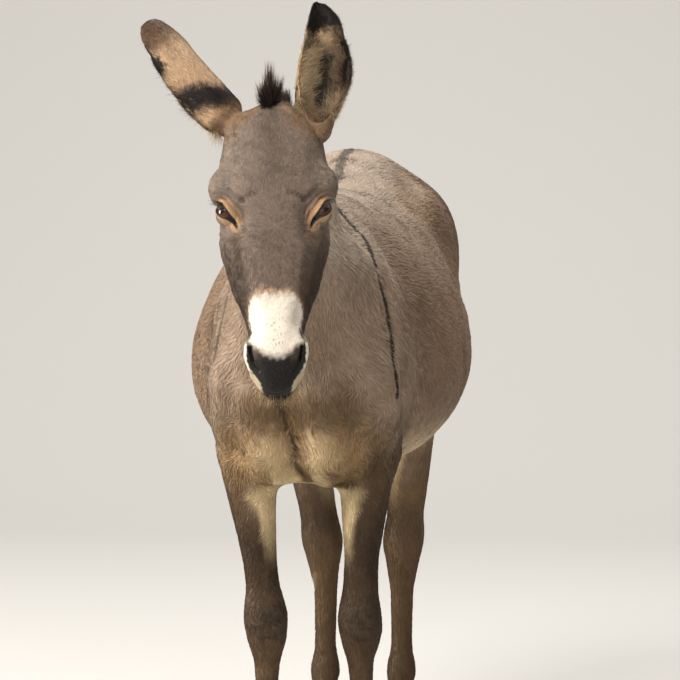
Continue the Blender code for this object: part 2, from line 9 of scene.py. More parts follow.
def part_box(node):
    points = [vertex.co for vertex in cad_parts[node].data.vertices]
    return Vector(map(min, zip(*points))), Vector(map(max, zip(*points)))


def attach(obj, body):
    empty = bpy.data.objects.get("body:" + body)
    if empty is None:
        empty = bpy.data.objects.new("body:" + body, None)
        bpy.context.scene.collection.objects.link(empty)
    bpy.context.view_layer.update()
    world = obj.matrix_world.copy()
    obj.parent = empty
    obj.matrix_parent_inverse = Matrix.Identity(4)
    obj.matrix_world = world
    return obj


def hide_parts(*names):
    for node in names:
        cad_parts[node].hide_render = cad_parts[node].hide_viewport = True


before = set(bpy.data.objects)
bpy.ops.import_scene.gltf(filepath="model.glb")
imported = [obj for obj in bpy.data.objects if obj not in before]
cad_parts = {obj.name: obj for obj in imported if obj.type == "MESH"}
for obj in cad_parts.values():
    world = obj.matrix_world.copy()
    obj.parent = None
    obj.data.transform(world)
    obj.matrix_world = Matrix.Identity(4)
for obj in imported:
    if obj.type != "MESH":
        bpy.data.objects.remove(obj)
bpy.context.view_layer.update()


# ---------------------------------------------------------------------------
# The studio: a pale floor that curves up into a wall, which is see-through from
# its back, big soft lamps above, and a long lens a little above the donkey's
# head, well in front of it and a step to its left.
# ---------------------------------------------------------------------------
FLOOR_COLOUR = (0.50, 0.49, 0.47)
CAMERA_YAW = math.radians(6.3)
CAMERA_PLACE = Vector((0.8198, -7.1390, 1.43))
CAMERA_PITCH = math.radians(5.143)
CAMERA_LENS = 222.35
CAMERA_SENSOR = 36.0


def plain_material(name, colour, roughness):
    """A new material and its one shader."""
    material = bpy.data.materials.new(name)
    material.use_nodes = True
    shader = material.node_tree.nodes["Principled BSDF"]
    shader.inputs["Base Color"].default_value = (*colour, 1.0)
    shader.inputs["Roughness"].default_value = roughness
    return material, shader


def add_node(material, kind, **settings):
    """A new shader node with some inputs set: To_Min=0.6 sets the input "To Min"."""
    made = material.node_tree.nodes.new("ShaderNode" + kind)
    for setting, value in settings.items():
        made.inputs[setting.replace("_", " ")].default_value = value
    return made


def wire(material, *wires):
    """Links an output of one node to an input of another, for each wire."""
    for giver, output, taker, entry in wires:
        material.node_tree.links.new(giver.outputs[output], taker.inputs[entry])


def put_together(name, points, faces):
    """An object of the given points and faces, linked to the scene."""
    mesh = bpy.data.meshes.new(name)
    mesh.from_pydata([tuple(p) for p in points], [], faces)
    piece = bpy.data.objects.new(name, mesh)
    bpy.context.scene.collection.objects.link(piece)
    return piece


def smooth(mesh):
    """Shades every face of a mesh as part of one rounded form."""
    mesh.polygons.foreach_set("use_smooth", np.ones(len(mesh.polygons), dtype=bool))


def studio_backdrop():
    """Floor, cove and wall as one swept sheet, 18 m wide, clear when seen from its back."""
    half_width, front, cove_start, cove_radius, wall_top = 9.0, -14.0, 3.2, 2.0, 7.0
    profile = [(front, 0.0)]
    for step in range(13):
        turn = math.radians(90.0 * step / 12)
        profile.append((cove_start + cove_radius * math.sin(turn),
                        cove_radius * (1.0 - math.cos(turn))))
    profile.append((cove_start + cove_radius, wall_top))
    points = [(side * half_width, y, z) for y, z in profile for side in (-1, 1)]
    faces = [(2 * n, 2 * n + 1, 2 * n + 3, 2 * n + 2) for n in range(len(profile) - 1)]
    sheet = put_together("backdrop", points, faces)
    smooth(sheet.data)
    paint, shader = plain_material("backdrop paint", FLOOR_COLOUR, 0.9)
    side = add_node(paint, "NewGeometry")
    clear = add_node(paint, "BsdfTransparent")
    either = add_node(paint, "MixShader")
    wire(paint, (side, "Backfacing", either, "Fac"), (shader, "BSDF", either, 1), (clear, "BSDF", either, 2),
         (either, "Shader", paint.node_tree.nodes["Material Output"], "Surface"))
    sheet.data.materials.append(paint)


def soft_lamp(name, place, aim, size, power, colour):
    """A square area lamp at place, pointing at aim."""
    lamp = bpy.data.lights.new(name, "AREA")
    lamp.shape, lamp.size, lamp.energy, lamp.color = "SQUARE", size, power, colour
    holder = bpy.data.objects.new(name, lamp)
    bpy.context.scene.collection.objects.link(holder)
    holder.location = place
    holder.rotation_euler = (Vector(aim) - Vector(place)).to_track_quat("-Z", "Y").to_euler()


def studio_camera():
    """The camera that looks level along its yaw and then dips by its pitch."""
    level = Vector((-math.sin(CAMERA_YAW), math.cos(CAMERA_YAW), 0.0))
    look = level * math.cos(CAMERA_PITCH) - Vector((0, 0, math.sin(CAMERA_PITCH)))
    camera = bpy.data.cameras.new("camera")
    camera.lens, camera.sensor_width, camera.clip_end = CAMERA_LENS, CAMERA_SENSOR, 60.0
    holder = bpy.data.objects.new("camera", camera)
    bpy.context.scene.collection.objects.link(holder)
    holder.location = CAMERA_PLACE
    holder.rotation_euler = look.to_track_quat("-Z", "Y").to_euler()
    bpy.context.scene.camera = holder


studio_backdrop()
studio_camera()
bpy.context.scene.view_settings.view_transform = "Standard"
soft_lamp("key", (-2.1, -3.6, 4.2), (0, -0.2, 0.9), 2.2, 300, (1.0, 0.96, 0.90))
soft_lamp("top", (0.6, 1.6, 4.6), (0, 0.1, 0.9), 2.6, 215, (1.0, 0.98, 0.95))
soft_lamp("rim", (-4.4, -0.6, 1.7), (0, -0.1, 0.85), 1.6, 245, (1.0, 0.95, 0.88))
soft_lamp("fill", (3.0, -5.0, 2.6), (0, 0, 0.8), 3.0, 85, (1.0, 0.97, 0.93))
room = bpy.data.worlds.new("room")
bpy.context.scene.world = room
room.use_nodes = True
room.node_tree.nodes["Background"].inputs["Color"].default_value = (1.0, 0.99, 0.97, 1)
room.node_tree.nodes["Background"].inputs["Strength"].default_value = 0.26


# ---------------------------------------------------------------------------
# The skin: one closed hide over head, neck, trunk, legs and tail. It is cast
# from the solids, their flat facets are melted down, and it is then drawn in
# by the depth of the coat that lies over it.
# ---------------------------------------------------------------------------
LIMBS = [("fore_left", "forearm"), ("fore_right", "forearm"),
         ("hind_left", "gaskin"), ("hind_right", "gaskin")]
TRUNK = ["head", "neck", "chest", "barrel", "hindquarters", "tail_dock"]
FLESH = TRUNK + [limb + "_" + upper for limb, upper in LIMBS] \
    + [limb + "_cannon" for limb, _ in LIMBS]
EYE_NODES = ["eye_left", "eye_right"]
CUT_GAP = 0.0003
SKIN_VOXEL = 0.0065
HEAD_TILT = math.radians(23.0)
EYE_DOWN, EYE_OUT = 0.166, -0.029


def middle(node):
    """The centre of a solid's box."""
    low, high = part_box(node)
    return (Vector(low) + Vector(high)) / 2


def head_axes():
    """Poll, and the head's three directions: to its left, down the face, out of the face."""
    left, right = middle("eye_left"), middle("eye_right")
    side = (left - right).normalized()
    up = (Vector((0, 0, 1)) - side * side.z).normalized()
    ahead = side.cross(up)
    down = ahead * math.sin(HEAD_TILT) - up * math.cos(HEAD_TILT)
    out = ahead * math.cos(HEAD_TILT) + up * math.sin(HEAD_TILT)
    poll = (left + right) / 2 - down * EYE_DOWN - out * EYE_OUT
    return poll, side, down, out


POLL, HEAD_SIDE, HEAD_DOWN, HEAD_OUT = head_axes()


def on_head(across, down, out):
    """A place given by how far it is to the donkey's left, down the face and out of it."""
    return POLL + HEAD_SIDE * across + HEAD_DOWN * down + HEAD_OUT * out


def head_places(points):
    """The same three measures for many points at once."""
    turn = np.array([HEAD_SIDE, HEAD_DOWN, HEAD_OUT])
    return (points - np.array(POLL)) @ turn.T


def read(rows, what, width, kind=float):
    """One value of every vertex, edge, face or corner of a mesh, as an array."""
    flat = np.empty(len(rows) * width, dtype=kind)
    rows.foreach_get(what, flat)
    return flat.reshape(-1, width)


def points_of(piece):
    """Where a mesh's vertices are."""
    return read(piece.data.vertices, "co", 3)


def normals_of(piece):
    """Which way a mesh's vertices face."""
    return read(piece.data.vertices, "normal", 3)


def centres_of(piece):
    """The middle of every face."""
    return read(piece.data.polygons, "center", 3)


def edges_of(piece):
    """The vertex numbers at both ends of every edge."""
    return read(piece.data.edges, "vertices", 2, np.int32)


def set_points(piece, points):
    """Moves every vertex of a mesh to its new place."""
    piece.data.vertices.foreach_set("co", np.ascontiguousarray(points).ravel())
    piece.data.update()


def ease(low, high, value):
    """0 below low, 1 above high and a smooth ramp between."""
    ramp = np.clip((np.asarray(value) - low) / (high - low), 0.0, 1.0)
    return ramp * ramp * (3.0 - 2.0 * ramp)


def neighbour_mean(edges, count):
    """A function that gives each vertex the mean of a value over its neighbours."""
    ends = np.concatenate([edges[:, 0], edges[:, 1]])
    others = np.concatenate([edges[:, 1], edges[:, 0]])
    order = np.argsort(ends, kind="stable")
    others = others[order]
    starts = np.searchsorted(ends[order], np.arange(count))
    valence = np.bincount(ends, minlength=count).astype(float)[:, None]

    def mean(values):
        """The mean of a value over each vertex's neighbours."""
        return np.add.reduceat(values[others], starts, axis=0) / valence
    return mean


def melt(piece, rounds, draw, weight):
    """Melts facets by turns of drawing in and letting out, so that the volume stays."""
    points = points_of(piece)
    mean = neighbour_mean(edges_of(piece), len(points))
    let_out = -(draw + 0.02)
    weight = weight[:, None]
    for _ in range(rounds):
        for step in (draw, let_out):
            points = points + weight * step * (mean(points) - points)
    set_points(piece, points)


def take(piece):
    """Selects one piece alone, as the one that is worked on."""
    bpy.ops.object.select_all(action="DESELECT")
    piece.select_set(True)
    bpy.context.view_layer.objects.active = piece


def edit_all(piece, tool, **settings):
    """Uses one mesh tool on the whole of a piece."""
    take(piece)
    bpy.ops.object.mode_set(mode="EDIT")
    bpy.ops.mesh.select_all(action="SELECT")
    tool(**settings)
    bpy.ops.object.mode_set(mode="OBJECT")


def edit_some(piece, kind, chosen, tool, **settings):
    """Uses one mesh tool on the chosen faces or edges of a piece."""
    take(piece)
    bpy.ops.object.mode_set(mode="EDIT")
    bpy.ops.mesh.select_mode(type=kind)
    bpy.ops.mesh.select_all(action="DESELECT")
    bpy.ops.object.mode_set(mode="OBJECT")
    rows = piece.data.polygons if kind == "FACE" else piece.data.edges
    rows.foreach_set("select", chosen)
    bpy.ops.object.mode_set(mode="EDIT")
    tool(**settings)
    bpy.ops.object.mode_set(mode="OBJECT")


def copy_solids(title, names):
    """Copies of solids joined into one object and merged."""
    bpy.ops.object.select_all(action="DESELECT")
    for name in names:
        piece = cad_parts[name].copy()
        piece.data = piece.data.copy()
        piece.parent = None
        piece.matrix_world = Matrix.Identity(4)
        bpy.context.scene.collection.objects.link(piece)
        piece.select_set(True)
        bpy.context.view_layer.objects.active = piece
    if len(names) > 1:
        bpy.ops.object.join()
    piece = bpy.context.view_layer.objects.active
    piece.name = title
    edit_all(piece, bpy.ops.mesh.remove_doubles, threshold=1e-5)
    piece.data.materials.clear()
    return piece


def finish_modifier(piece, kind, **settings):
    """Adds one modifier with its settings and applies it."""
    take(piece)
    modifier = piece.modifiers.new(kind, kind)
    for setting, value in settings.items():
        setattr(modifier, setting, value)
    bpy.ops.object.modifier_apply(modifier=modifier.name)


def fade_group(piece, name, weights):
    """A vertex group with a weight for every vertex, in a few steps."""
    group = piece.vertex_groups.new(name=name)
    steps = np.round(np.clip(weights, 0, 1) * 10).astype(int)
    for step in range(1, 11):
        chosen = np.nonzero(steps == step)[0]
        if len(chosen):
            group.add(chosen.tolist(), step / 10, "REPLACE")
    return group.name


def head_share(points):
    """1 on the head, 0 from the throat back."""
    _, down, out = head_places(points).T
    behind = -0.105 - 0.25 * down
    return ease(behind - 0.05, behind, out) * ease(0.60, 0.70, points[:, 2])


def leg_share(points):
    """1 on the legs below elbow and stifle."""
    low = ease(0.60, 0.52, points[:, 2])
    return low * (1 - ease(0.60, 0.63, points[:, 1]) * ease(0.02, 0.0, np.abs(points[:, 0])))


def cast_hide():
    """One closed mesh over all the flesh, melted, and thinned out on the trunk."""
    hide = copy_solids("hide", FLESH + EYE_NODES)
    finish_modifier(hide, "DISPLACE", strength=CUT_GAP * 2, mid_level=0.0)
    finish_modifier(hide, "REMESH", mode="VOXEL", voxel_size=SKIN_VOXEL, use_smooth_shade=True)
    places = points_of(hide)
    trunk_share = np.clip(1 - head_share(places) - leg_share(places), 0, 1)
    melt(hide, 50, 0.60, trunk_share)
    melt(hide, 6, 0.50, np.ones(len(places)))
    trunk = fade_group(hide, "trunk", trunk_share)
    finish_modifier(hide, "DECIMATE", ratio=0.40, vertex_group=trunk, vertex_group_factor=1.0)
    hide.vertex_groups.clear()
    return hide


def surface_of(piece):
    """A tree that finds the nearest place on a mesh."""
    return BVHTree.FromObject(piece, bpy.context.evaluated_depsgraph_get())


def cut_finer(piece, chosen):
    """Divides the chosen faces of a mesh once."""
    edit_some(piece, "FACE", chosen, bpy.ops.mesh.subdivide, number_cuts=1, smoothness=0)


def near_spot(piece, spot, reach):
    """The faces near a place on the head and near its mirror image."""
    across, down, out = head_places(centres_of(piece)).T
    return np.hypot(np.hypot(np.abs(across) - spot[0], down - spot[1]), out - spot[2]) < reach


def round_off(piece, chosen, rounds):
    """Smooths only the chosen vertices."""
    places = points_of(piece)
    mean = neighbour_mean(edges_of(piece), len(places))
    share = chosen[:, None]
    for _ in range(rounds):
        places = places + share * 0.5 * (mean(places) - places)
    set_points(piece, places)


EYE_PART = (0.066, 0.172, -0.020), 0.044
LID_PART = (0.062, 0.175, -0.015), 0.032
NOSTRIL_PART = (0.037, 0.404, -0.018), 0.024
MUZZLE_TOP = 0.388

skin = cast_hide()
centres = centres_of(skin)
_, down, out = head_places(centres).T
cut_finer(skin, (head_share(centres) > 0.3) & (out > -0.115 - 0.1 * down))      # front of the head
centres = centres_of(skin)
muzzle = (head_places(centres)[:, 1] > MUZZLE_TOP) & (head_share(centres) > 0.9)
cut_finer(skin, near_spot(skin, *EYE_PART) | muzzle)
cut_finer(skin, near_spot(skin, *LID_PART) | near_spot(skin, *NOSTRIL_PART))
centres = centres_of(skin)
_, y, z = centres.T
cut_finer(skin, (y < -0.13) & (z > 0.56) & (z < 0.80) & (head_share(centres) < 0.1))    # breast
finish_modifier(skin, "SMOOTH", factor=0.5, iterations=3)
places = points_of(skin)
_, y, z = places.T
breast = ease(-0.10, -0.16, y) * ease(0.54, 0.60, z) * ease(0.86, 0.80, z) * (1 - head_share(places))
round_off(skin, breast, 24)


# ---------------------------------------------------------------------------
# The ears: long shells of gristle in short hair, one pricked with its hollow to
# the front, the other laid out sideways with its back to the front. Each is
# cast apart, let into the head, and its seam is rounded off.
# ---------------------------------------------------------------------------
EARS = ["ear_left", "ear_right"]
MM = 0.001
EAR_ROOT_REACH, EAR_ROOT_DEPTH = 0.014, 0.012
EAR_OPENING = {"ear_left": Vector((0.10, 0.0, 1.0)), "ear_right": Vector((-0.46, 0.22, -0.86))}
EAR_BLUNT = 0.24
EAR_LET_OUT = {     # along the ear, and by how many mm one edge and the other are let out there
    "ear_left": ([0.0, 0.10, 0.20, 0.40, 0.60, 0.75, 0.85, 0.93, 1.0],
                 [-8, -4, 0, 4, 6, 0, -6, -12, -14],
                 [-5, -4, -3, 1, -1, -6, -8, -13, -11]),
    "ear_right": ([0.0, 0.10, 0.20, 0.40, 0.55, 0.65, 0.78, 0.90, 1.0],
                  [-14, -12, -8, -3, -4, -8, -15, -13, -8],
                  [10, 9, 5, 2, 4, 6, 8, 10, 11])}


def bell(value, middle, spread):
    """1 at the middle, sinking to nothing on both sides of it."""
    return np.exp(-((value - middle) / spread) ** 2)


class Ear:
    """An ear's own measures: along it from 0 to 1, across it in metres, and towards its opening."""

    def __init__(self, node):
        self.node, self.sign = node, 1 if node.endswith("left") else -1
        solid = points_of(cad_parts[node])
        reach = np.linalg.norm(solid - np.array(POLL), axis=1)
        self.tip = solid[np.argsort(-reach)[:8]].mean(0)
        self.root = solid[np.argsort(reach)[:40]].mean(0)
        self.length = np.linalg.norm(self.tip - self.root)
        self.run = (self.tip - self.root) / self.length
        side, down, out = EAR_OPENING[node]
        opening = np.array(HEAD_SIDE * side + HEAD_DOWN * down + HEAD_OUT * out)
        opening -= self.run * (opening @ self.run)
        self.opening = opening / np.linalg.norm(opening)
        self.wide = np.cross(self.run, self.opening)
        run, wide, deep = self.measures(solid)
        self.deep = deep.min() - 0.006, deep.max() + 0.006
        self.bins = np.linspace(0.0, 1.0, 11)
        near = [wide[np.abs(run - at) < 0.08] for at in self.bins]
        self.edges = np.array([(some.min(), some.max()) for some in near])

    def across(self, run, wide):
        """-1 at one edge of the ear, 1 at the other."""
        one, other = (np.interp(run, self.bins, self.edges[:, n]) for n in (0, 1))
        return (wide - (one + other) / 2) / np.maximum((other - one) / 2, 0.004)

    def measures(self, places):
        """Along the ear from 0 to 1, and across it and towards its opening in metres."""
        offset = places - self.root
        return offset @ self.run / self.length, offset @ self.wide, offset @ self.opening

    def spots(self, places):
        """Along the ear from 0 to 1, and across it from -1 to 1."""
        run, wide, _ = self.measures(places)
        return run, self.across(run, wide)

    def share(self, places, start=-0.02):
        """1 on the ear, 0 from its root down."""
        run, wide, deep = self.measures(places)
        inside = (np.abs(self.across(run, wide)) < 1.35) & (deep > self.deep[0]) & (deep < self.deep[1])
        return inside * ease(start, start + 0.08, run)

    def outer(self, across):
        """1 at the edge away from the head, -1 at the edge next to it."""
        return across * (1 if self.wide @ np.array(HEAD_SIDE) * self.sign > 0 else -1)

    def black_rim(self, run, across, ahead=0.0):
        """The black tip and the thin black edges, seen from inside the ear."""
        outer = self.outer(across)
        slant = 0.13 * np.clip(-1.6 * outer, 0, 1) - 0.03 * np.clip(outer, 0, 1)
        tip = ease(0.81, 0.86, run + ahead + slant)
        outer_edge = ease(0.66, 0.80, outer + 1.5 * ahead) * ease(0.24, 0.36, run + ahead)
        near_edge = ease(0.84, 0.94, -outer + 1.5 * ahead) * ease(0.50, 0.62, run + ahead)
        return np.maximum(tip, np.maximum(outer_edge, near_edge))

    def shape(self, piece):
        """Lets the ear's two edges out or in, so that it is full at the root and blunt at the tip."""
        places = points_of(piece)
        run, across = self.spots(places)
        across = np.clip(across, -1, 1)
        at, low, high = (np.array(row) for row in EAR_LET_OUT[self.node])
        low, high = np.interp(run, at, low) * MM, np.interp(run, at, high) * MM
        shift = (low * (1 - across) + high * (1 + across)) / 2
        far = np.clip(1 - run, 0, None)
        blunt = far - np.where(far < EAR_BLUNT, far ** 1.7 / EAR_BLUNT ** 0.7, far)
        moved = np.outer(shift, self.wide) + np.outer(blunt * self.length, self.run)
        places += moved * self.share(places)[:, None]
        set_points(piece, places)
        for n, row in enumerate(EAR_LET_OUT[self.node][1:]):
            self.edges[:, n] += np.interp(self.bins, at, row) * MM


def cast_ear(node, hide):
    """An ear's shell with its facets rounded and its root let into the head."""
    ear = copy_solids(node + " cast", [node])
    finish_modifier(ear, "SUBSURF", levels=2, render_levels=2)
    places, head = points_of(ear), surface_of(hide)
    for number, place in enumerate(places):
        spot, slope, _, gap = head.find_nearest(Vector(place), EAR_ROOT_REACH)
        if spot is not None:
            places[number] -= np.array(slope) * EAR_ROOT_DEPTH * (1 - gap / EAR_ROOT_REACH)
    set_points(ear, places)
    return ear


EAR_FRAMES = [Ear(node) for node in EARS]
for ear in EAR_FRAMES:
    cast = cast_ear(ear.node, skin)
    finish_modifier(skin, "BOOLEAN", operation="UNION", solver="MANIFOLD", object=cast)
    bpy.data.objects.remove(cast)
    ear.shape(skin)
    run, wide, deep = ear.measures(points_of(skin))
    seam = bell(run, -0.02, 0.07) * (np.hypot(wide, deep) < 0.09)
    round_off(skin, seam, 18)


# ---------------------------------------------------------------------------
# The sculptor's strokes: muscles, bones, folds, nostrils and mouth, raised or
# sunk along lines laid on the skin, once it is drawn in by the coat's depth.
# ---------------------------------------------------------------------------
COAT_BODY, COAT_FACE, COAT_LEG, COAT_EAR = 0.0035, 0.0016, 0.0018, 0.0010
POLL_RISE, BRISKET_HANG, HOCK_DROP = 0.010, 0.020, 0.036
NECK_END, FORE_END, BARREL_END = -0.12, 0.10, 0.33     # along the trunk: behind these come other parts
BROW_FOLDS = [[(0.0506, 0.1552, -0.001), (0.0394, 0.149, 0.004), (0.0267, 0.1452, 0.006)],
              [(0.047, 0.1564, 0.0), (0.0583, 0.148, -0.003), (0.0639, 0.140, -0.0045),
               (0.0695, 0.1345, -0.0065)]]


def drawn(points, steps=12):
    """A smooth line through a few places."""
    knots = [2 * Vector(points[0]) - Vector(points[1])] + [Vector(p) for p in points] \
        + [2 * Vector(points[-1]) - Vector(points[-2])]
    line = []
    for n in range(1, len(knots) - 2):
        a, b, c, d = knots[n - 1:n + 3]
        for step in range(steps):
            t = step / steps
            line.append(0.5 * (2 * b + (c - a) * t + (2 * a - 5 * b + 4 * c - d) * t * t
                               + (3 * b - a - 3 * c + d) * t ** 3))
    return np.array(line + [knots[-2]])


def away_from(places, line, reach):
    """Each place's distance from a line, up to a little past reach."""
    low, high = line.min(0) - reach, line.max(0) + reach
    near = np.nonzero(np.all((places > low) & (places < high), axis=1))[0]
    gap = np.full(len(places), reach * 1.01)
    for start in range(0, len(near), 20000):
        some = near[start:start + 20000]
        gap[some] = np.sqrt(((places[some, None, :] - line[None]) ** 2).sum(2).min(1))
    return gap


class Sculptor:
    """Works on a mesh's vertices with strokes laid on its surface."""

    def __init__(self, piece):
        self.piece, self.places, self.slopes = piece, points_of(piece), normals_of(piece)
        self.surface = surface_of(piece)

    def stroke(self, path, reach, height, sharp=2.0):
        """Raises (or sinks) the surface along a path."""
        line = drawn(path, 14)
        line = np.array([self.surface.find_nearest(Vector(p))[0] for p in line])
        gap = np.clip(away_from(self.places, line, reach) / reach, 0, 1)
        self.places += self.slopes * (height * (1 - gap ** sharp) ** 2)[:, None]

    def both(self, path, reach, height, sharp=2.0):
        """The same stroke on the head's left and right."""
        for sign in (1, -1):
            self.stroke([on_head(a * sign, d, o) for a, d, o in path], reach, height, sharp)

    def pair(self, path, reach, height):
        """The same stroke on the left and right of the trunk."""
        for sign in (1, -1):
            self.stroke([(x * sign, y, z) for x, y, z in path], reach, height)

    def done(self):
        """Puts the strokes on the mesh."""
        set_points(self.piece, self.places)


def ear_share(places):
    """1 out on the ears, 0 at their roots."""
    share = np.zeros(len(places))
    for node in EARS:
        low, high = (np.array(c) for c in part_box(node))
        inside = np.all((places > low - 0.004) & (places < high + 0.004), axis=1)
        share = np.maximum(share, inside * ease(low[2] + 0.03, low[2] + 0.06, places[:, 2]))
    return share


places, slopes = points_of(skin), normals_of(skin)
face_share, legs_share, ears_share = head_share(places), leg_share(places), ear_share(places)
coat_depth = COAT_BODY + (COAT_FACE - COAT_BODY) * face_share
coat_depth += (COAT_LEG - coat_depth) * legs_share
coat_depth += (COAT_EAR - coat_depth) * ears_share
set_points(skin, places - slopes * coat_depth[:, None])

places = points_of(skin)
across, down, out = head_places(places).T
poll = head_share(places) * ease(0.055, 0.0, down) * bell(across, 0.0, 0.050) * ease(-0.16, -0.10, out)
set_points(skin, places - np.outer(poll * POLL_RISE, np.array(HEAD_DOWN)))
hand = Sculptor(skin)
for fold in BROW_FOLDS:
    hand.both(fold, 0.0075, -0.0020)                                                    # folds of the brow
hand.both([(0.058, 0.085, -0.02), (0.060, 0.112, -0.012)], 0.022, -0.0030)              # hollow above the eye
hand.both([(0.050, 0.175, -0.006), (0.056, 0.205, -0.012)], 0.026, -0.0060)             # by the inner corner
hand.both([(0.086, 0.205, -0.05), (0.078, 0.25, -0.055), (0.066, 0.30, -0.052)], 0.014, 0.0035)  # cheek bone
hand.both([(0.052, 0.235, -0.02), (0.044, 0.30, -0.018), (0.036, 0.35, -0.016)], 0.016, -0.0028)  # cheek
hand.both([(0.024, 0.21, 0.0), (0.022, 0.30, 0.0), (0.018, 0.37, 0.0)], 0.012, 0.0010)  # nose bone
hand.both([(0.075, 0.22, -0.10), (0.070, 0.26, -0.12), (0.052, 0.30, -0.13)], 0.020, -0.0030)    # jowl
hand.both([(0.046, 0.355, -0.030), (0.043, 0.375, -0.022)], 0.012, -0.0025)             # above the nostril
hand.both([(0.047, 0.388, -0.018), (0.048, 0.405, -0.027), (0.042, 0.421, -0.036)], 0.010, 0.0030)  # its rim
hand.both([(0.030, 0.392, -0.008), (0.029, 0.410, -0.014)], 0.009, 0.0012)              # its inner wing
hand.done()
hand = Sculptor(skin)
hand.both([(0.0402, 0.391, -0.016), (0.0396, 0.402, -0.017), (0.0376, 0.412, -0.021)],
          0.0034, -0.0100, 3.0)                                                         # nostril
hand.both([(0.0376, 0.412, -0.021), (0.0340, 0.421, -0.024), (0.0290, 0.428, -0.024)], 0.0045, -0.0030)
hand.done()
places = points_of(skin)
across, down, out = head_places(places).T
low_lip = ease(0.420, 0.450, down) * ease(-0.110, -0.090, out) * ease(0.045, 0.035, np.abs(across))
low_lip *= head_share(places)
places += np.outer(low_lip * (0.0035 - 8.0 * across ** 2), np.array(HEAD_DOWN))
set_points(skin, places)
hand = Sculptor(skin)
mouth = [(0.0, 0.455, -0.063), (0.018, 0.451, -0.064), (0.033, 0.437, -0.068), (0.043, 0.415, -0.074),
         (0.047, 0.392, -0.078), (0.046, 0.372, -0.080)]
hand.both(mouth, 0.0042, -0.0042)
hand.both([(a * 1.02, d, o + 0.009) for a, d, o in mouth[:4]], 0.008, 0.0012)           # upper lip
hand.both([(0.0, 0.445, -0.082), (0.016, 0.440, -0.084)], 0.016, 0.0030)                # chin
hand.done()
hand = Sculptor(skin)
hand.pair([(0.080, -0.46, 1.02), (0.088, -0.36, 1.012), (0.092, -0.28, 1.008), (0.085, -0.20, 1.010)],
          0.095, -0.024)                                                                # neck
hand.pair([(0.07, -0.50, 0.87), (0.075, -0.43, 0.82), (0.075, -0.37, 0.76)], 0.045, -0.007)  # jugular groove
hand.stroke([(-0.027, -0.345, 0.735), (-0.024, -0.343, 0.705), (-0.016, -0.335, 0.671),
             (-0.011, -0.318, 0.640), (-0.017, -0.267, 0.597)], 0.040, -0.013)          # breast crease
for side, middle_x in ((1, 0.030), (-1, -0.066)):
    hand.stroke([(middle_x + 0.004 * side, -0.33, 0.705), (middle_x + 0.008 * side, -0.315, 0.645),
                 (middle_x + 0.012 * side, -0.26, 0.595)], 0.062, 0.011)                # breast muscles
hand.stroke([(0.088, -0.33, 0.750), (0.086, -0.312, 0.690), (0.080, -0.285, 0.630)],
            0.032, -0.008)                                                              # beside the breast
hand.stroke([(-0.112, -0.31, 0.750), (-0.115, -0.30, 0.690), (-0.112, -0.262, 0.630)],
            0.032, -0.008)
hand.pair([(0.142, -0.29, 0.745), (0.142, -0.27, 0.70), (0.136, -0.245, 0.66)], 0.060, 0.010)   # shoulder
hand.pair([(0.140, -0.23, 0.80), (0.125, -0.19, 0.90), (0.085, -0.17, 1.00)], 0.050, 0.006)     # blade
hand.pair([(0.160, -0.12, 0.63), (0.172, -0.10, 0.72), (0.165, -0.08, 0.83), (0.12, -0.08, 0.95)],
          0.060, -0.010)                                                                # behind the shoulder
hand.stroke([(-0.195, -0.12, 0.88), (-0.222, -0.02, 0.79), (-0.225, 0.04, 0.70), (-0.205, 0.0, 0.61)],
            0.11, 0.008)                                                                # ribs
hand.pair([(0.120, -0.165, 0.615), (0.115, -0.150, 0.58)], 0.045, 0.008)                # elbow
hand.pair([(0.185, 0.335, 0.90), (0.185, 0.33, 0.84), (0.175, 0.33, 0.76)], 0.085, -0.013)      # flank
hand.pair([(0.150, 0.40, 1.00), (0.172, 0.41, 0.965)], 0.050, 0.009)                    # hip
hand.pair([(0.150, 0.36, 0.66), (0.150, 0.40, 0.60)], 0.060, 0.009)                     # stifle
hand.pair([(0.150, 0.60, 0.93), (0.145, 0.60, 0.80), (0.115, 0.61, 0.68)], 0.055, -0.008)       # thigh
hand.pair([(0.060, 0.70, 0.90), (0.065, 0.69, 0.80)], 0.060, 0.008)                     # buttock
hand.done()
places, slopes = points_of(skin), normals_of(skin)
x, y, z = places.T
hang = bell(x, -0.004, 0.075) * ease(-0.02, -0.14, y) * ease(0.68, 0.58, z) * ease(0.50, 0.54, z)
places[:, 2] -= BRISKET_HANG * hang
fore = y < FORE_END
legs = leg_share(places)
joints = np.zeros(len(places))
for there, lift, height, spread in ((~fore, 0.0045, 0.400, 0.036),      # hocks
                                    (fore, 0.0020, 0.340, 0.030),       # knees
                                    (True, 0.0040, 0.160, 0.026),       # fetlocks
                                    (True, -0.0015, 0.100, 0.014)):     # pasterns
    joints += there * lift * bell(z, height, spread)
places += slopes * (joints * legs)[:, None]
places[:, 2] -= ~fore * HOCK_DROP * ease(0.58, 0.44, z) * ease(0.045, 0.155, z) * legs
set_points(skin, places)


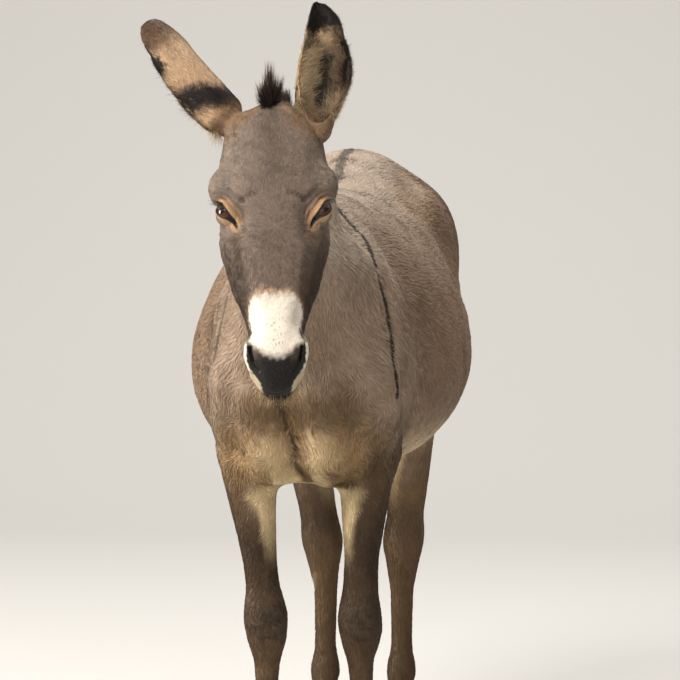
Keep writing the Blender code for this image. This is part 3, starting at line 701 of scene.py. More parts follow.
# ---------------------------------------------------------------------------
# The sockets: each eye looks out between two lids that are drawn over the
# ball, with a narrow tear corner towards the nose, a heavy fold above and a
# soft pouch below. The lids are the hide itself, pressed over the ball.
# ---------------------------------------------------------------------------
EYE_RADIUS = 0.020
LID_THICK = 0.0021
LID_AXIS = (0.60, 0.06, 0.80)          # out of the opening: sideways, down, out of the face
LID_RUN = (-0.506, 0.802, 0.320)       # from the outer corner to the tear corner
UPPER_LID = [(-22, -2), (-17, 4.0), (-10, 7.4), (-2, 8.3), (7, 7.4), (15, 5.2), (22, 2.2), (29, -0.6),
             (35, -3.0)]               # mm along the opening and across it
LOWER_LID = [(-22, -3), (-17, -5.6), (-9, -7.3), (-1, -7.6), (6, -6.2), (12, -3.8), (17, -1.8), (23, -1.8),
             (29, -2.8), (35, -3.6)]
BALL_REACH = 0.0185                    # how far from its middle the ball shows
LID_REACH = 0.045                      # and how far the lids are worked
LID_MELT = 0.006                       # how softly the hide runs into a lid
FOLDS_ABOVE = 0.0075, -0.0026, 0.0011, 0.0150      # crease, its depth, the roll beyond, second crease
FOLDS_BELOW = 0.0085, -0.0014, 0.0007, 0.0155


class Socket:
    """One eye's own measures: along the opening, across it and out of it."""

    def __init__(self, node, sign):
        self.node, self.sign = node, sign
        self.centre = middle(node)
        self.out = self.headwards(LID_AXIS)
        run = self.headwards(LID_RUN)
        self.run = (run - self.out * run.dot(self.out)).normalized()
        over = self.out.cross(self.run)
        self.over = over if over.dot(HEAD_DOWN) < 0 else -over
        self.upper = drawn([(x * MM, y * MM, 0) for x, y in UPPER_LID], 10)[:, :2]
        self.lower = drawn([(x * MM, y * MM, 0) for x, y in LOWER_LID], 10)[:, :2]

    def headwards(self, measures):
        """A direction given sideways, down the face and out of it."""
        side, down, out = measures
        return (HEAD_SIDE * side * self.sign + HEAD_DOWN * down + HEAD_OUT * out).normalized()

    def measures(self, places):
        """Along the opening, across it and out of it, in metres."""
        turn = np.array([self.run, self.over, self.out])
        return (places - np.array(self.centre)) @ turn.T

    def place(self, along, across, height):
        """The place that has these measures."""
        return self.centre + self.run * along + self.over * across + self.out * height

    def lid_gap(self, along, across):
        """Distance from the lids' edge: under 0 in the opening, over 0 on the lids."""
        top = np.interp(along, self.upper[:, 0], self.upper[:, 1])
        foot = np.interp(along, self.lower[:, 0], self.lower[:, 1])
        inside = (across < top) & (across > foot) & (along > self.upper[0, 0]) & (along < self.upper[-1, 0])
        rim = np.concatenate([self.upper, self.lower[::-1]])
        gap = np.full(len(along), 1.0)
        near = np.nonzero(np.hypot(along, across) < 0.06)[0]
        here = np.stack([along[near], across[near]], 1)
        gap[near] = np.sqrt(((here[:, None, :] - rim[None]) ** 2).sum(2).min(1))
        return np.where(inside, -gap, gap)

    def near(self, places):
        """Along and across at this eye, whether it is near, and how far the lids' edge is."""
        along, across, height = self.measures(places).T
        close = (np.hypot(along, across) < 0.06) & (height > -0.03)
        return along, across, close, np.where(close, self.lid_gap(along, across), 1.0)

    def above(self, along, across):
        """True on the upper lid's side of the opening."""
        middle_line = 0.5 * (np.interp(along, self.upper[:, 0], self.upper[:, 1])
                             + np.interp(along, self.lower[:, 0], self.lower[:, 1]))
        return across > middle_line


SOCKETS = [Socket("eye_left", 1), Socket("eye_right", -1)]


def press_lids(piece, socket):
    """Draws the hide over the ball, opens it between the lids and folds it above and below."""
    places = points_of(piece)
    along, across, height = socket.measures(places).T
    reach = np.hypot(along - 0.004, across)
    near = np.nonzero((reach < LID_REACH) & (height > -0.010))[0]
    along, across, height, reach = along[near], across[near], height[near], reach[near]
    ball = EYE_RADIUS + LID_THICK
    on_ball = np.sqrt(np.clip(ball ** 2 - along ** 2 - across ** 2, 0, None))
    on_ball = np.where(np.hypot(along, across) < ball, on_ball, -0.02)
    gap = socket.lid_gap(along, across)
    upper = socket.above(along, across)
    hide = height - 0.002 * ease(0.036, 0.022, reach)
    blend = np.clip(0.5 + 0.5 * (on_ball - hide) / LID_MELT, 0, 1)
    lid = hide + (on_ball - hide) * blend + LID_MELT * blend * (1 - blend)
    crease, depth, roll, second = (np.where(upper, *pair) for pair in zip(FOLDS_ABOVE, FOLDS_BELOW))
    fold = depth * bell(gap, crease, 0.0017) + roll * bell(gap, crease + 0.0042, 0.0026)
    fold += 0.0005 * bell(gap, 0.0020, 0.0018) - 0.0008 * bell(gap, second, 0.0016)
    lid += fold * ease(-0.026, -0.016, along) * ease(0.034, 0.020, along)
    sunk_to = EYE_RADIUS - 0.0060
    behind_ball = np.sqrt(np.clip(sunk_to ** 2 - along ** 2 - across ** 2, 0, None))
    sunk = np.where(np.hypot(along, across) < BALL_REACH, behind_ball, lid - 0.0045)
    sunk = np.minimum(sunk, lid - 0.0035)
    target = np.where(gap < 0, sunk, lid)
    share = ease(0.044, 0.026, reach)
    moved = height + (target - height) * np.where(gap < 0, 1.0, share)
    places[near] += np.outer(moved - height, np.array(socket.out))
    set_points(piece, places)


for socket in SOCKETS:
    press_lids(skin, socket)


# ---------------------------------------------------------------------------
# The hide's colours: grey-dun on the body with a paler belly and breast, brown
# legs, dark back stripe and shoulder cross, a pale muzzle with a black nose,
# cream rings round the eyes, and tan ears with dark tips and bands. Skin and
# hair take the same paint, place by place.
# ---------------------------------------------------------------------------
DUN = (0.255, 0.180, 0.124)
NECK_DUN = (0.340, 0.246, 0.176)
NECK_PAINTED_LIGHT = (0.500, 0.395, 0.300)
BACK_GREY_AND_TOP_LIGHT = (0.360, 0.285, 0.220)
RIB_BROWN_AND_SHADE = (0.205, 0.128, 0.074)
FACE_GREY = (0.138, 0.099, 0.076)
FACE_DARK_AND_SHADE = (0.047, 0.029, 0.019)
BROW_PALE_AND_HIGHLIGHT = (0.168, 0.129, 0.101)
BREAST_TAN = (0.280, 0.162, 0.062)
BREAST_PALE = (0.650, 0.475, 0.275)
BREAST_DARK_AND_SHADE = (0.100, 0.056, 0.020)
INNER_CREAM = (0.640, 0.490, 0.280)
LEG_BROWN = (0.120, 0.072, 0.036)
GASKIN_PAINTED_LIGHT = (0.215, 0.132, 0.060)
DARK_BROWN_AND_SHADE = (0.046, 0.028, 0.016)
KNEE_GREY = (0.066, 0.046, 0.032)
KNEE_FOLD_DARK_AND_SHADE = (0.020, 0.014, 0.010)
KNEE_CREASES = ((0.347, -0.004), (0.335, 0.003), (0.322, 0.006), (0.303, 0.004))
RING_CREAM = (0.400, 0.250, 0.130)
UNDER_EYE = (0.085, 0.047, 0.026)
RING_RUST = (0.225, 0.122, 0.066)
LID_BLACK = (0.012, 0.010, 0.010)
MUZZLE_WHITE = (0.850, 0.755, 0.640)
MUZZLE_RUST = (0.420, 0.260, 0.160)
MUZZLE_TAN = (0.760, 0.640, 0.500)
LIP_CREAM = (0.500, 0.415, 0.270)
CHIN_TAN = (0.240, 0.160, 0.070)
NOSE_GREY = (0.066, 0.044, 0.027)
WHITE_EDGE = ([0.300, 0.307, 0.315, 0.330, 0.345, 0.367, 0.378, 0.388],        # down the face, and how
              [0.032, 0.035, 0.0385, 0.041, 0.0405, 0.0350, 0.042, 0.054])     # far out the white goes
NOSE_EDGE = ([0.380, 0.404, 0.412, 0.420, 0.426, 0.435, 0.444, 0.450, 0.454, 0.470],
             [0.0462, 0.0462, 0.0455, 0.0420, 0.0380, 0.0310, 0.0252, 0.0228, 0.0205, 0.0190])
NOSE_BLACK = (0.006, 0.004, 0.003)
STRIPE_BLACK = (0.030, 0.022, 0.017)
EAR_ROOT = (0.178, 0.104, 0.054)
EAR_TAN = (0.440, 0.290, 0.175)
EAR_DARK = (0.012, 0.008, 0.007)
EAR_CREAM = (0.500, 0.355, 0.205)
EAR_TIP = (0.086, 0.046, 0.026)
EAR_HOLLOW = (0.026, 0.018, 0.013)
STRIPE_PATH = [(0.0, -0.135, 1.066), (0.035, -0.145, 1.030), (0.057, -0.161, 1.000), (0.077, -0.171, 0.981),
               (0.096, -0.189, 0.962), (0.109, -0.231, 0.938), (0.120, -0.238, 0.907), (0.128, -0.239, 0.876),
               (0.138, -0.243, 0.836), (0.145, -0.255, 0.796), (0.153, -0.280, 0.761), (0.158, -0.286, 0.722)]
CREASE_PATH = [(-0.033, -0.335, 0.730), (-0.026, -0.329, 0.704), (-0.018, -0.325, 0.672),
               (-0.013, -0.298, 0.640), (-0.012, -0.270, 0.612), (-0.006, -0.245, 0.592)]


def ripple(places, length, seed):
    """A soft random field between about -1 and 1 whose bumps are about length apart."""
    dice = np.random.default_rng(seed)
    total = np.zeros(len(places))
    for _ in range(7):
        wave = dice.normal(size=3)
        wave *= 2 * math.pi / (length * np.linalg.norm(wave) * dice.uniform(0.75, 1.4))
        total += np.sin(places @ wave + dice.uniform(0, 6.3))
    return total / 2.4


def lay(colours, share, paint):
    """Lays a paint over the colours where share is above 0."""
    return colours + (np.array(paint) - colours) * np.clip(share, 0, 1)[:, None]


def on_hide(path):
    """A drawn line laid down on the hide and pulled straight there."""
    line = np.array(drawn(path, 14))
    for _ in range(4):
        line = np.array([hide_surface.find_nearest(Vector(spot))[0] for spot in line])
        for _ in range(12):
            line[1:-1] = 0.25 * line[:-2] + 0.5 * line[1:-1] + 0.25 * line[2:]
    return np.array([hide_surface.find_nearest(Vector(spot))[0] for spot in line])


hide_surface = surface_of(skin)
STRIPE_LINES = [on_hide([(x * sign, y, z) for x, y, z in STRIPE_PATH]) for sign in (1, -1)]
CREASE_LINE = on_hide(CREASE_PATH)
FOLD_LINES = [on_hide([on_head(a * sign, d, o) for a, d, o in fold])
              for fold in BROW_FOLDS for sign in (1, -1)]


def off_stripe(places):
    """How far each place is from the shoulder stripes."""
    return np.minimum(away_from(places, STRIPE_LINES[0], 0.020), away_from(places, STRIPE_LINES[1], 0.020))


def coat_colours(places, slopes):
    """The colour of hide and hair at many places."""
    x, y, z = places.T
    across, down, out = head_places(places).T
    side, wide = np.abs(across), np.abs(x)
    head, legs = head_share(places), leg_share(places)
    up = slopes[:, 2]
    patches = ripple(places, 0.16, 1) * 0.5 + ripple(places, 0.05, 2) * 0.3
    edge = ripple(places, 0.020, 3)
    fine_edge = ripple(places, 0.009, 4)

    colours = np.tile(np.array(DUN), (len(places), 1))

    def brush(share, paint):
        """Lays one more paint over the rest."""
        nonlocal colours
        colours = lay(colours, share, paint)

    # Neck, back, ribs and belly, with painted light and painted shade on them.
    # paler neck and shoulders, but darker below the head: painted shadow of the head on the throat and chest
    head_shadow = ease(0.11, 0.05, wide) * ease(0.90, 0.80, z)
    brush(ease(-0.02, -0.20, y) * ease(0.62, 0.70, z) * (0.8 - 0.7 * head_shadow), NECK_DUN)
    brush(ease(-0.05, -0.25, y) * ease(0.88, 0.98, z) * 0.8, BACK_GREY_AND_TOP_LIGHT)
    # painted light: a sunlit patch on the upper neck behind the head
    brush(ease(-0.12, -0.28, y) * ease(0.92, 1.0, z) * ease(0.02, 0.06, wide) * 0.5, NECK_PAINTED_LIGHT)
    # paler where the back and croup face upwards: partly the grey of the back, partly painted light from
    # above
    brush(ease(0.55, 0.98, up) * ease(0.80, 0.98, z) * ease(0.19, 0.07, wide) * 0.8, BACK_GREY_AND_TOP_LIGHT)
    # painted shade on the sides of the croup, darker where they turn away from above
    croup_side_shade = ease(0.18, 0.34, y) * ease(0.80, 0.88, z) * ease(0.05, 0.11, wide) * ease(1.02, 0.70, up)
    brush(croup_side_shade * 0.6, RIB_BROWN_AND_SHADE)
    rib = ease(0.85, 0.20, np.abs(up)) * ease(-0.22, 0.02, y) * ease(0.98, 0.86, z)
    brush(rib * 0.75, RIB_BROWN_AND_SHADE)
    belly = ease(0.68, 0.57, z + 0.02 * edge) * ease(-0.10, -0.75, up) * (1 - legs)
    brush(belly * 0.9, INNER_CREAM)

    # Breast: dark below the throat, partly painted shadow of the head, tan and two pale patches between the
    # legs.
    in_front = ease(-0.10, -0.22, y) * (1 - legs)
    brisket = ease(0.600, 0.575, z + 0.004 * edge) * ease(0.09, 0.05, wide) * in_front
    # darker below the throat: partly dark brown hair, partly painted shadow of the head
    throat = ease(0.76, 0.71, z + 0.010 * edge) * ease(0.64, 0.67, z) * in_front
    throat *= ease(0.17, 0.07, np.abs(x + 0.005))
    brush(throat * 0.75, BREAST_DARK_AND_SHADE)
    breast = ease(0.68, 0.635, z + 0.012 * edge) * in_front * ease(0.17, 0.10, np.abs(x + 0.010))
    brush(breast * 0.8, BREAST_TAN)
    for spot in (0.030, -0.055):
        pale = np.exp(-((x - spot) / 0.034) ** 2 - ((z - 0.628) / 0.030) ** 2) * in_front
        brush(pale, BREAST_PALE)
    brush(brisket * 0.6, BREAST_DARK_AND_SHADE)
    # painted shade in the crease down the middle of the breast and at its foot between the legs
    crease = away_from(places, CREASE_LINE, 0.020)
    brush(ease(0.017, 0.004, crease + 0.002 * fine_edge) * in_front * 0.55, BREAST_DARK_AND_SHADE)
    brush(ease(0.0055, 0.002, crease + 0.001 * fine_edge) * in_front * 0.9, DARK_BROWN_AND_SHADE)
    brush(ease(0.605, 0.580, z) * ease(0.03, 0.01, np.abs(x + 0.012)) * in_front * 0.7, BREAST_DARK_AND_SHADE)

    # Legs: brown, darker knees with creases across them, cream on their inner sides, painted shade on the
    # donkey's left foreleg and painted light on its left gaskin.
    fore = y < FORE_END
    # the brown reaches higher on the forelegs' outer sides, and higher still on the donkey's left foreleg as
    # painted shade
    start = np.where(fore & (x > 0), 0.055, 0.0) - np.where(fore, 0.0, 0.05)
    start += fore * 0.080 * np.maximum(ease(-0.088, -0.122, x), 0.9 * ease(0.085, 0.125, x))
    start = np.where(fore, start * ease(-0.04, -0.12, y), start)
    leg_line = ease(0.575, 0.47, z + 0.012 * edge - start)
    leg_middle = np.where(x > 0.01, np.where(fore, 0.093, 0.085), np.where(fore, -0.070, -0.060))
    brush(leg_line * 0.95, LEG_BROWN)
    forearm = bell(z, 0.445, 0.080) * fore * ease(0.6, -0.2, slopes[:, 1])
    brush(forearm * 0.97, DARK_BROWN_AND_SHADE)
    # painted light: a paler patch on the donkey's left gaskin, lifting the shade under the body
    gaskin = ease(0.31, 0.39, z) * (y > FORE_END) * ease(0.02, 0.06, x)
    brush(gaskin * leg_line * 0.8, GASKIN_PAINTED_LIGHT)
    knee = np.where(fore, bell(z, 0.335, 0.045), bell(z, 0.40, 0.05))
    front = ease(0.1, -0.6, slopes[:, 1])
    brush(knee * front * leg_line * 0.7, KNEE_GREY)
    # dark creases and patches on the knees' fronts: partly dark skin, partly painted shade in the folds
    folds = knee * front * fore * ease(0.2, 0.9, ripple(places, 0.022, 8) + 0.5 * fine_edge)
    brush(folds * 0.6, KNEE_FOLD_DARK_AND_SHADE)
    off_middle = (x - leg_middle) / 0.017
    for height, bow in KNEE_CREASES:
        line = (z - height - bow * off_middle ** 2 - 0.0015 * fine_edge) / 0.0032
        brush(np.exp(-line ** 2 - off_middle ** 2) * fore * front * 0.85, KNEE_FOLD_DARK_AND_SHADE)
    # painted shade: the donkey's left foreleg darker all down
    brush(fore * leg_line * ease(0.0, 0.04, x) * 0.45, DARK_BROWN_AND_SHADE)
    brush(ease(0.30, 0.10, z) * 0.45, DARK_BROWN_AND_SHADE)
    facing_in = -slopes[:, 0] * np.sign(x - 0.012)
    inward = ease(0.25, 0.85, facing_in + 0.55 * ease(0.46, 0.58, z))
    inward *= ease(0.41, 0.50, z) * ease(0.64, 0.56, z)
    brush(inward * np.where(fore, 1.0, 0.7), INNER_CREAM)

    # Face: grey, with pale brow, dark cheeks and jaw, painted shade in the brow folds and down the middle of
    # the forehead, and painted highlights on the brow ridges.
    brush(head * 0.9, FACE_GREY)
    brush(head * ease(0.16, 0.09, down) * ease(-0.12, -0.02, out) * 0.35, BROW_PALE_AND_HIGHLIGHT)
    # painted shade in the folds of the brow
    for line in FOLD_LINES:
        brush(ease(0.0065, 0.0010, away_from(places, line, 0.010)) * 0.55, FACE_DARK_AND_SHADE)
    # painted shade down the middle of the upper forehead, where it dips between the brows
    crown = bell(side, 0.0, 0.020) * ease(0.16, 0.05, down) * ease(-0.12, -0.04, out)
    brush(head * crown * 0.35, FACE_DARK_AND_SHADE)
    # painted highlights on the ridges above the eyes
    brow = np.exp(-((side - 0.088) / 0.02) ** 2 - ((down - 0.125) / 0.03) ** 2)
    brush(head * brow * 0.7, BROW_PALE_AND_HIGHLIGHT)
    cheek = ease(0.17, 0.26, down) * ease(0.42, 0.36, down)
    cheek *= ease(0.038, 0.060, side + 0.14 * np.clip(down - 0.24, 0, 1))
    brush(head * cheek * (0.76 + 0.19 * ease(0.24, 0.32, down)), FACE_DARK_AND_SHADE)
    jaw = ease(-0.10, -0.15, out) * ease(0.16, 0.24, down)
    brush(head * jaw * 0.5, DUN)

    # Muzzle: white up to a clear edge, with a rusty fringe and a few dark specks.
    pale = ease(0.299, 0.317, down + 0.0015 * fine_edge + 0.0018 * edge)
    limit = np.interp(down, *WHITE_EDGE)
    flank = ease(limit + 0.003, limit - 0.002, side + 0.0010 * fine_edge)
    mealy = ease(0.362, 0.390, down + 0.004 * edge) * ease(0.02, 0.04, side)
    fringe = ease(0.292, 0.306, down + 0.004 * edge) * ease(0.345, 0.315, down)
    fringe *= ease(limit + 0.008, limit - 0.004, side)
    brush(head * fringe * 0.85, MUZZLE_RUST)
    brush(head * pale * mealy * 0.9, MUZZLE_TAN)
    brush(head * pale * flank, MUZZLE_WHITE)
    specks = (ripple(places, 0.0042, 5) > 1.30) * ease(0.335, 0.350, down) * ease(0.026, 0.010, side)
    brush(head * pale * flank * specks * 0.6, FACE_DARK_AND_SHADE)

    # Nose and lips: black leather between the nostrils, cream lip beside it.
    nose_top = 0.4115 - 15.0 * side ** 2 + 0.0014 * fine_edge
    leather = np.interp(down, *NOSE_EDGE) + 0.0006 * fine_edge
    nose = ease(nose_top - 0.012, nose_top + 0.006, down) * ease(leather + 0.0014, leather - 0.0014, side)
    nose *= ease(-0.066, -0.058, out)
    lip = ease(0.418, 0.424, down) * ease(-0.062, -0.056, out)
    lip *= ease(leather - 0.0010, leather + 0.0014, side)
    brush(head * lip, LIP_CREAM)
    brush(head * nose, NOSE_BLACK)
    corner = nose * ease(nose_top + 0.022, nose_top + 0.002, down)
    corner *= ease(0.019, 0.027, side) * ease(0.043, 0.038, side)
    brush(head * corner * 0.8, NOSE_GREY)
    under = ease(-0.058, -0.072, out) * ease(0.36, 0.42, down)
    brush(head * under * 0.85, FACE_DARK_AND_SHADE)
    front_lip = ease(0.438, 0.448, down) * ease(0.026, 0.019, side) * ease(-0.100, -0.090, out)
    brush(head * front_lip, NOSE_BLACK)
    beard = ease(0.448, 0.456, down) * ease(-0.070, -0.080, out) * ease(0.012, 0.004, side)
    brush(head * beard * 0.35, CHIN_TAN)

    # Rings round the eyes: cream, rusty towards the nose, black at the lids' edge.
    for socket in SOCKETS:
        along, over, near, gap = socket.near(places)
        upper = socket.above(along, over)
        width = np.where(upper, 0.0080, 0.0010 + 0.005 * ease(0.000, 0.012, along))
        width = (width * ease(-0.032, -0.014, along) + 0.003) * ease(0.050, 0.030, along)
        ring = ease(width + 0.002, width - 0.002, gap + 0.0010 * fine_edge)
        rust = np.where(upper, ease(0.0040, 0.0080, gap) * 0.9, 0.15) + 0.35 * ease(0.014, 0.034, along)
        under_eye = ease(0.004, 0.010, gap - width) * ease(0.030, 0.014, gap) * ease(-0.004, -0.012, over)
        brush(near * under_eye * ~upper * 0.55, UNDER_EYE)
        brush(ring * near, RING_CREAM)
        brush(ring * near * rust, RING_RUST)
        tear = np.exp(-(over + 0.003) ** 2 / 0.004 ** 2)
        tear *= ease(0.034, 0.037, along) * ease(0.062, 0.042, along)
        brush(near * tear * 0.5, RING_RUST)
        shade = bell(gap, 0.016, 0.004) * upper
        brush(near * shade * 0.35, FACE_DARK_AND_SHADE)
        brush(near * ease(0.0022, 0.0012, gap), LID_BLACK)

    # Ears: a dark band and tip on a tan back, cream hollows with black rims.
    for ear in EAR_FRAMES:
        run, across = ear.spots(places)
        across = across + 0.06 * fine_edge
        on_ear = ear.share(places, -0.06)
        inner = ease(0.10, 0.45, slopes @ ear.opening)
        upper = across * (1 if ear.wide[2] > 0 else -1)
        outer = ear.outer(across)
        back = 1 - inner
        paint = np.tile(np.array(EAR_TAN), (len(places), 1))
        paint = lay(paint, ease(0.66, 0.86, run + 0.02 * edge) * 0.95, EAR_TIP)
        middle_band = 0.212 - 0.14 * np.clip(upper, -1.2, 1.2) - 0.05 * (1 - np.clip(upper, -1, 1) ** 2)
        band = np.exp(-(((run + 0.010 * edge) - middle_band) / 0.130) ** 6)
        paint = lay(paint, band * back, EAR_DARK)
        strip = ease(0.72, 0.86, -upper) * ease(0.54, 0.62, run) * ease(0.86, 0.80, run)
        paint = lay(paint, strip * back, EAR_DARK)
        pale_edge = ease(0.93, 1.03, -upper) * ease(0.02, 0.1, run) * ease(0.60, 0.52, run)
        paint = lay(paint, pale_edge * back, EAR_CREAM)
        paint = lay(paint, ease(0.965, 1.0, run), EAR_DARK)
        paint = lay(paint, inner * 0.9, EAR_CREAM)
        paint = lay(paint, inner * ease(0.0, 0.5, outer) * 0.8, EAR_TIP)
        hollow = ease(0.46, 0.14, np.abs(across - 0.05)) * ease(0.10, 0.20, run) * ease(0.74, 0.60, run)
        paint = lay(paint, inner * hollow, EAR_HOLLOW)
        paint = lay(paint, ear.black_rim(run, across) * inner, EAR_DARK)
        paint = lay(paint, ease(0.15, 0.03, run) * back * 0.75, EAR_ROOT)
        colours = colours + (paint - colours) * on_ear[:, None]
        near = np.linalg.norm(places - ear.root - ear.wide * ear.edges[0].mean(), axis=1) + 0.008 * edge
        brush(ease(0.066, 0.040, near) * (1 - ear.share(places, 0.02)) * 0.85, EAR_ROOT)

    # Shoulder stripe, back stripe and the dark top of the tail.
    cross = off_stripe(places)
    faint = 0.55 + 0.45 * ease(-0.06, 0.0, x)
    brush(ease(0.0086, 0.0048, cross + 0.0007 * fine_edge) * (1 - head) * faint, STRIPE_BLACK)
    back = ease(0.75, 0.9, up) * ease(-0.20, -0.14, y) * (z > 0.9)
    crest = ease(0.50, 0.80, up) * ease(-0.10, -0.18, y) * ease(0.98, 1.03, z) * (1 - head)
    brush(crest * ease(0.018, 0.010, np.abs(x + 0.006)) * 0.9, STRIPE_BLACK)
    spine = np.abs(x + 0.006 + 0.002 * edge)
    brush(back * ease(0.013, 0.006, spine) * 0.8, STRIPE_BLACK)
    bar = ease(0.011, 0.006, np.abs(y - 0.385)) * ease(0.032, 0.018, spine) * (z > 0.95)
    brush(bar * 0.6, STRIPE_BLACK)
    dock = ease(0.60, 0.66, y) * ease(0.030, 0.015, spine)
    brush(dock * ease(0.98, 0.90, z) * 0.5, STRIPE_BLACK)
    return np.clip(colours * (1 + 0.10 * patches)[:, None], 0.004, 0.95)


def toned_paint(material, scale, detail, low, high):
    """The painted colour times a fine grain between low and high: its place, grain and last node."""
    paint = add_node(material, "Attribute")
    paint.attribute_name = "Coat"
    place = add_node(material, "TexCoord")
    grain = add_node(material, "TexNoise", Scale=scale, Detail=detail)
    tone = add_node(material, "MapRange", To_Min=low, To_Max=high)
    mix = add_node(material, "VectorMath")
    mix.operation = "SCALE"
    wire(material, (place, "Object", grain, "Vector"), (grain, "Fac", tone, "Value"),
         (paint, "Color", mix, 0), (tone, "Result", mix, "Scale"))
    return place, grain, mix


def hide_material():
    """Skin under the coat: painted colour, broken up and dusted, with fine hair relief."""
    material, shader = plain_material("hide", DUN, 0.60)
    shader.inputs["Specular IOR Level"].default_value = 0.22
    place, grain, mix = toned_paint(material, 420.0, 4.0, 0.60, 1.15)
    speck = add_node(material, "TexNoise", Scale=620.0)
    dust = add_node(material, "MapRange", From_Min=0.58, From_Max=0.74, To_Max=0.034)
    dusted = add_node(material, "VectorMath")
    bump = add_node(material, "Bump", Strength=0.55, Distance=0.0008)
    wire(material, (place, "Object", speck, "Vector"), (speck, "Fac", dust, "Value"),
         (mix, "Vector", dusted, 0), (dust, "Result", dusted, 1), (dusted, "Vector", shader, "Base Color"),
         (grain, "Fac", bump, "Height"), (bump, "Normal", shader, "Normal"))
    return material


def paint_points(piece, colours):
    """Stores a colour on every vertex."""
    layer = piece.data.color_attributes.new("Coat", "FLOAT_COLOR", "POINT")
    full = np.ones((len(colours), 4), dtype=np.float32)
    full[:, :3] = colours
    layer.data.foreach_set("color", full.ravel())


smooth(skin.data)
paint_points(skin, coat_colours(points_of(skin), normals_of(skin)))
skin.data.materials.clear()
skin.data.materials.append(hide_material())
edit_all(skin, bpy.ops.uv.smart_project, angle_limit=math.radians(60), island_margin=0.002)
skin.data.uv_layers[0].name = "OFBake"
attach(skin, "root")
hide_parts(*FLESH, *EARS)


# ---------------------------------------------------------------------------
# The eyes: dark balls with brown irises and pupils that lie level, wet and
# glossy. Each sits in its socket, held by a bare black cord of lid edge that
# runs round the opening.
# ---------------------------------------------------------------------------
GAZE = (0.50, 0.03, 0.86)
IRIS_RADIUS = 0.0125
IRIS_DARK, IRIS_BROWN = (0.014, 0.006, 0.003), (0.130, 0.046, 0.013)
BALL_DARK, PUPIL_BLACK = (0.006, 0.004, 0.004), (0.002, 0.002, 0.003)
EDGE_THICK, EDGE_AROUND = 0.00095, 8


def eyeball(socket):
    """A ball with a slightly domed cornea; its map gives places on the iris."""
    bpy.ops.mesh.primitive_uv_sphere_add(segments=96, ring_count=64, radius=EYE_RADIUS)
    ball = bpy.context.object
    ball.name = socket.node.replace("eye", "eyeball")
    gaze = socket.headwards(GAZE)
    level = gaze.cross(HEAD_DOWN).normalized()
    upright = gaze.cross(level).normalized()
    places = points_of(ball)
    dome = ease(0.75, 1.0, places[:, 2] / EYE_RADIUS)
    places = places * (1 + 0.035 * dome)[:, None]
    turn = np.array([level, upright, gaze])
    flat = places[:, :2] / IRIS_RADIUS
    behind = places[:, 2] < 0
    flat[behind] *= (3.0 / np.maximum(np.linalg.norm(flat[behind], axis=1), 0.3))[:, None]
    layer = ball.data.uv_layers[0]
    layer.name = "Iris"
    corners = read(ball.data.loops, "vertex_index", 1, np.int32)[:, 0]
    layer.data.foreach_set("uv", flat[corners].ravel().astype(np.float32))
    set_points(ball, places @ turn + np.array(socket.centre))
    smooth(ball.data)
    return ball


def add_ramp(material, *stops):
    """A ramp between two colours, each with its place on the ramp."""
    ramp = add_node(material, "ValToRGB")
    for element, (position, colour) in zip(ramp.color_ramp.elements, stops):
        element.position, element.color = position, (*colour, 1.0)
    return ramp


def eye_material():
    """Brown iris with darker rays and edge, a wide level pupil, and a dark white of the eye."""
    material, shader = plain_material("wet eye", (0.03, 0.015, 0.008), 0.06)
    shader.inputs["Coat Weight"].default_value = 0.14
    shader.inputs["Coat Roughness"].default_value = 0.02
    shader.inputs["Specular IOR Level"].default_value = 0.25
    plane = add_node(material, "UVMap")
    plane.uv_map = "Iris"

    def oval(scale, low, high):
        """1 inside an oval of the iris plane, 0 outside it."""
        stretch = add_node(material, "VectorMath")
        stretch.operation = "MULTIPLY"
        stretch.inputs[1].default_value = scale
        size = add_node(material, "VectorMath")
        size.operation = "LENGTH"
        fade = add_node(material, "MapRange", From_Min=low, From_Max=high, To_Min=1.0, To_Max=0.0)
        fade.interpolation_type = "SMOOTHSTEP"
        wire(material, (plane, "UV", stretch, 0), (stretch, "Vector", size, 0),
             (size, "Value", fade, "Value"))
        return fade

    rays = add_node(material, "TexNoise", Scale=5.0, Detail=5.0)
    ramp = add_ramp(material, (0.35, IRIS_DARK), (0.68, IRIS_BROWN))
    iris, pupil = add_node(material, "Mix"), add_node(material, "Mix")
    iris.data_type = pupil.data_type = "RGBA"
    iris.inputs[6].default_value = (*BALL_DARK, 1)           # inputs 6 and 7 are its two colours
    pupil.inputs[7].default_value = (*PUPIL_BLACK, 1)
    wire(material, (plane, "UV", rays, "Vector"), (rays, "Fac", ramp, "Fac"), (ramp, "Color", iris, 7),
         (oval((1, 1, 0), 0.90, 1.02), "Result", iris, "Factor"), (iris, 2, pupil, 6),
         (oval((1.75, 2.9, 0), 0.85, 1.10), "Result", pupil, "Factor"), (pupil, 2, shader, "Base Color"))
    return material


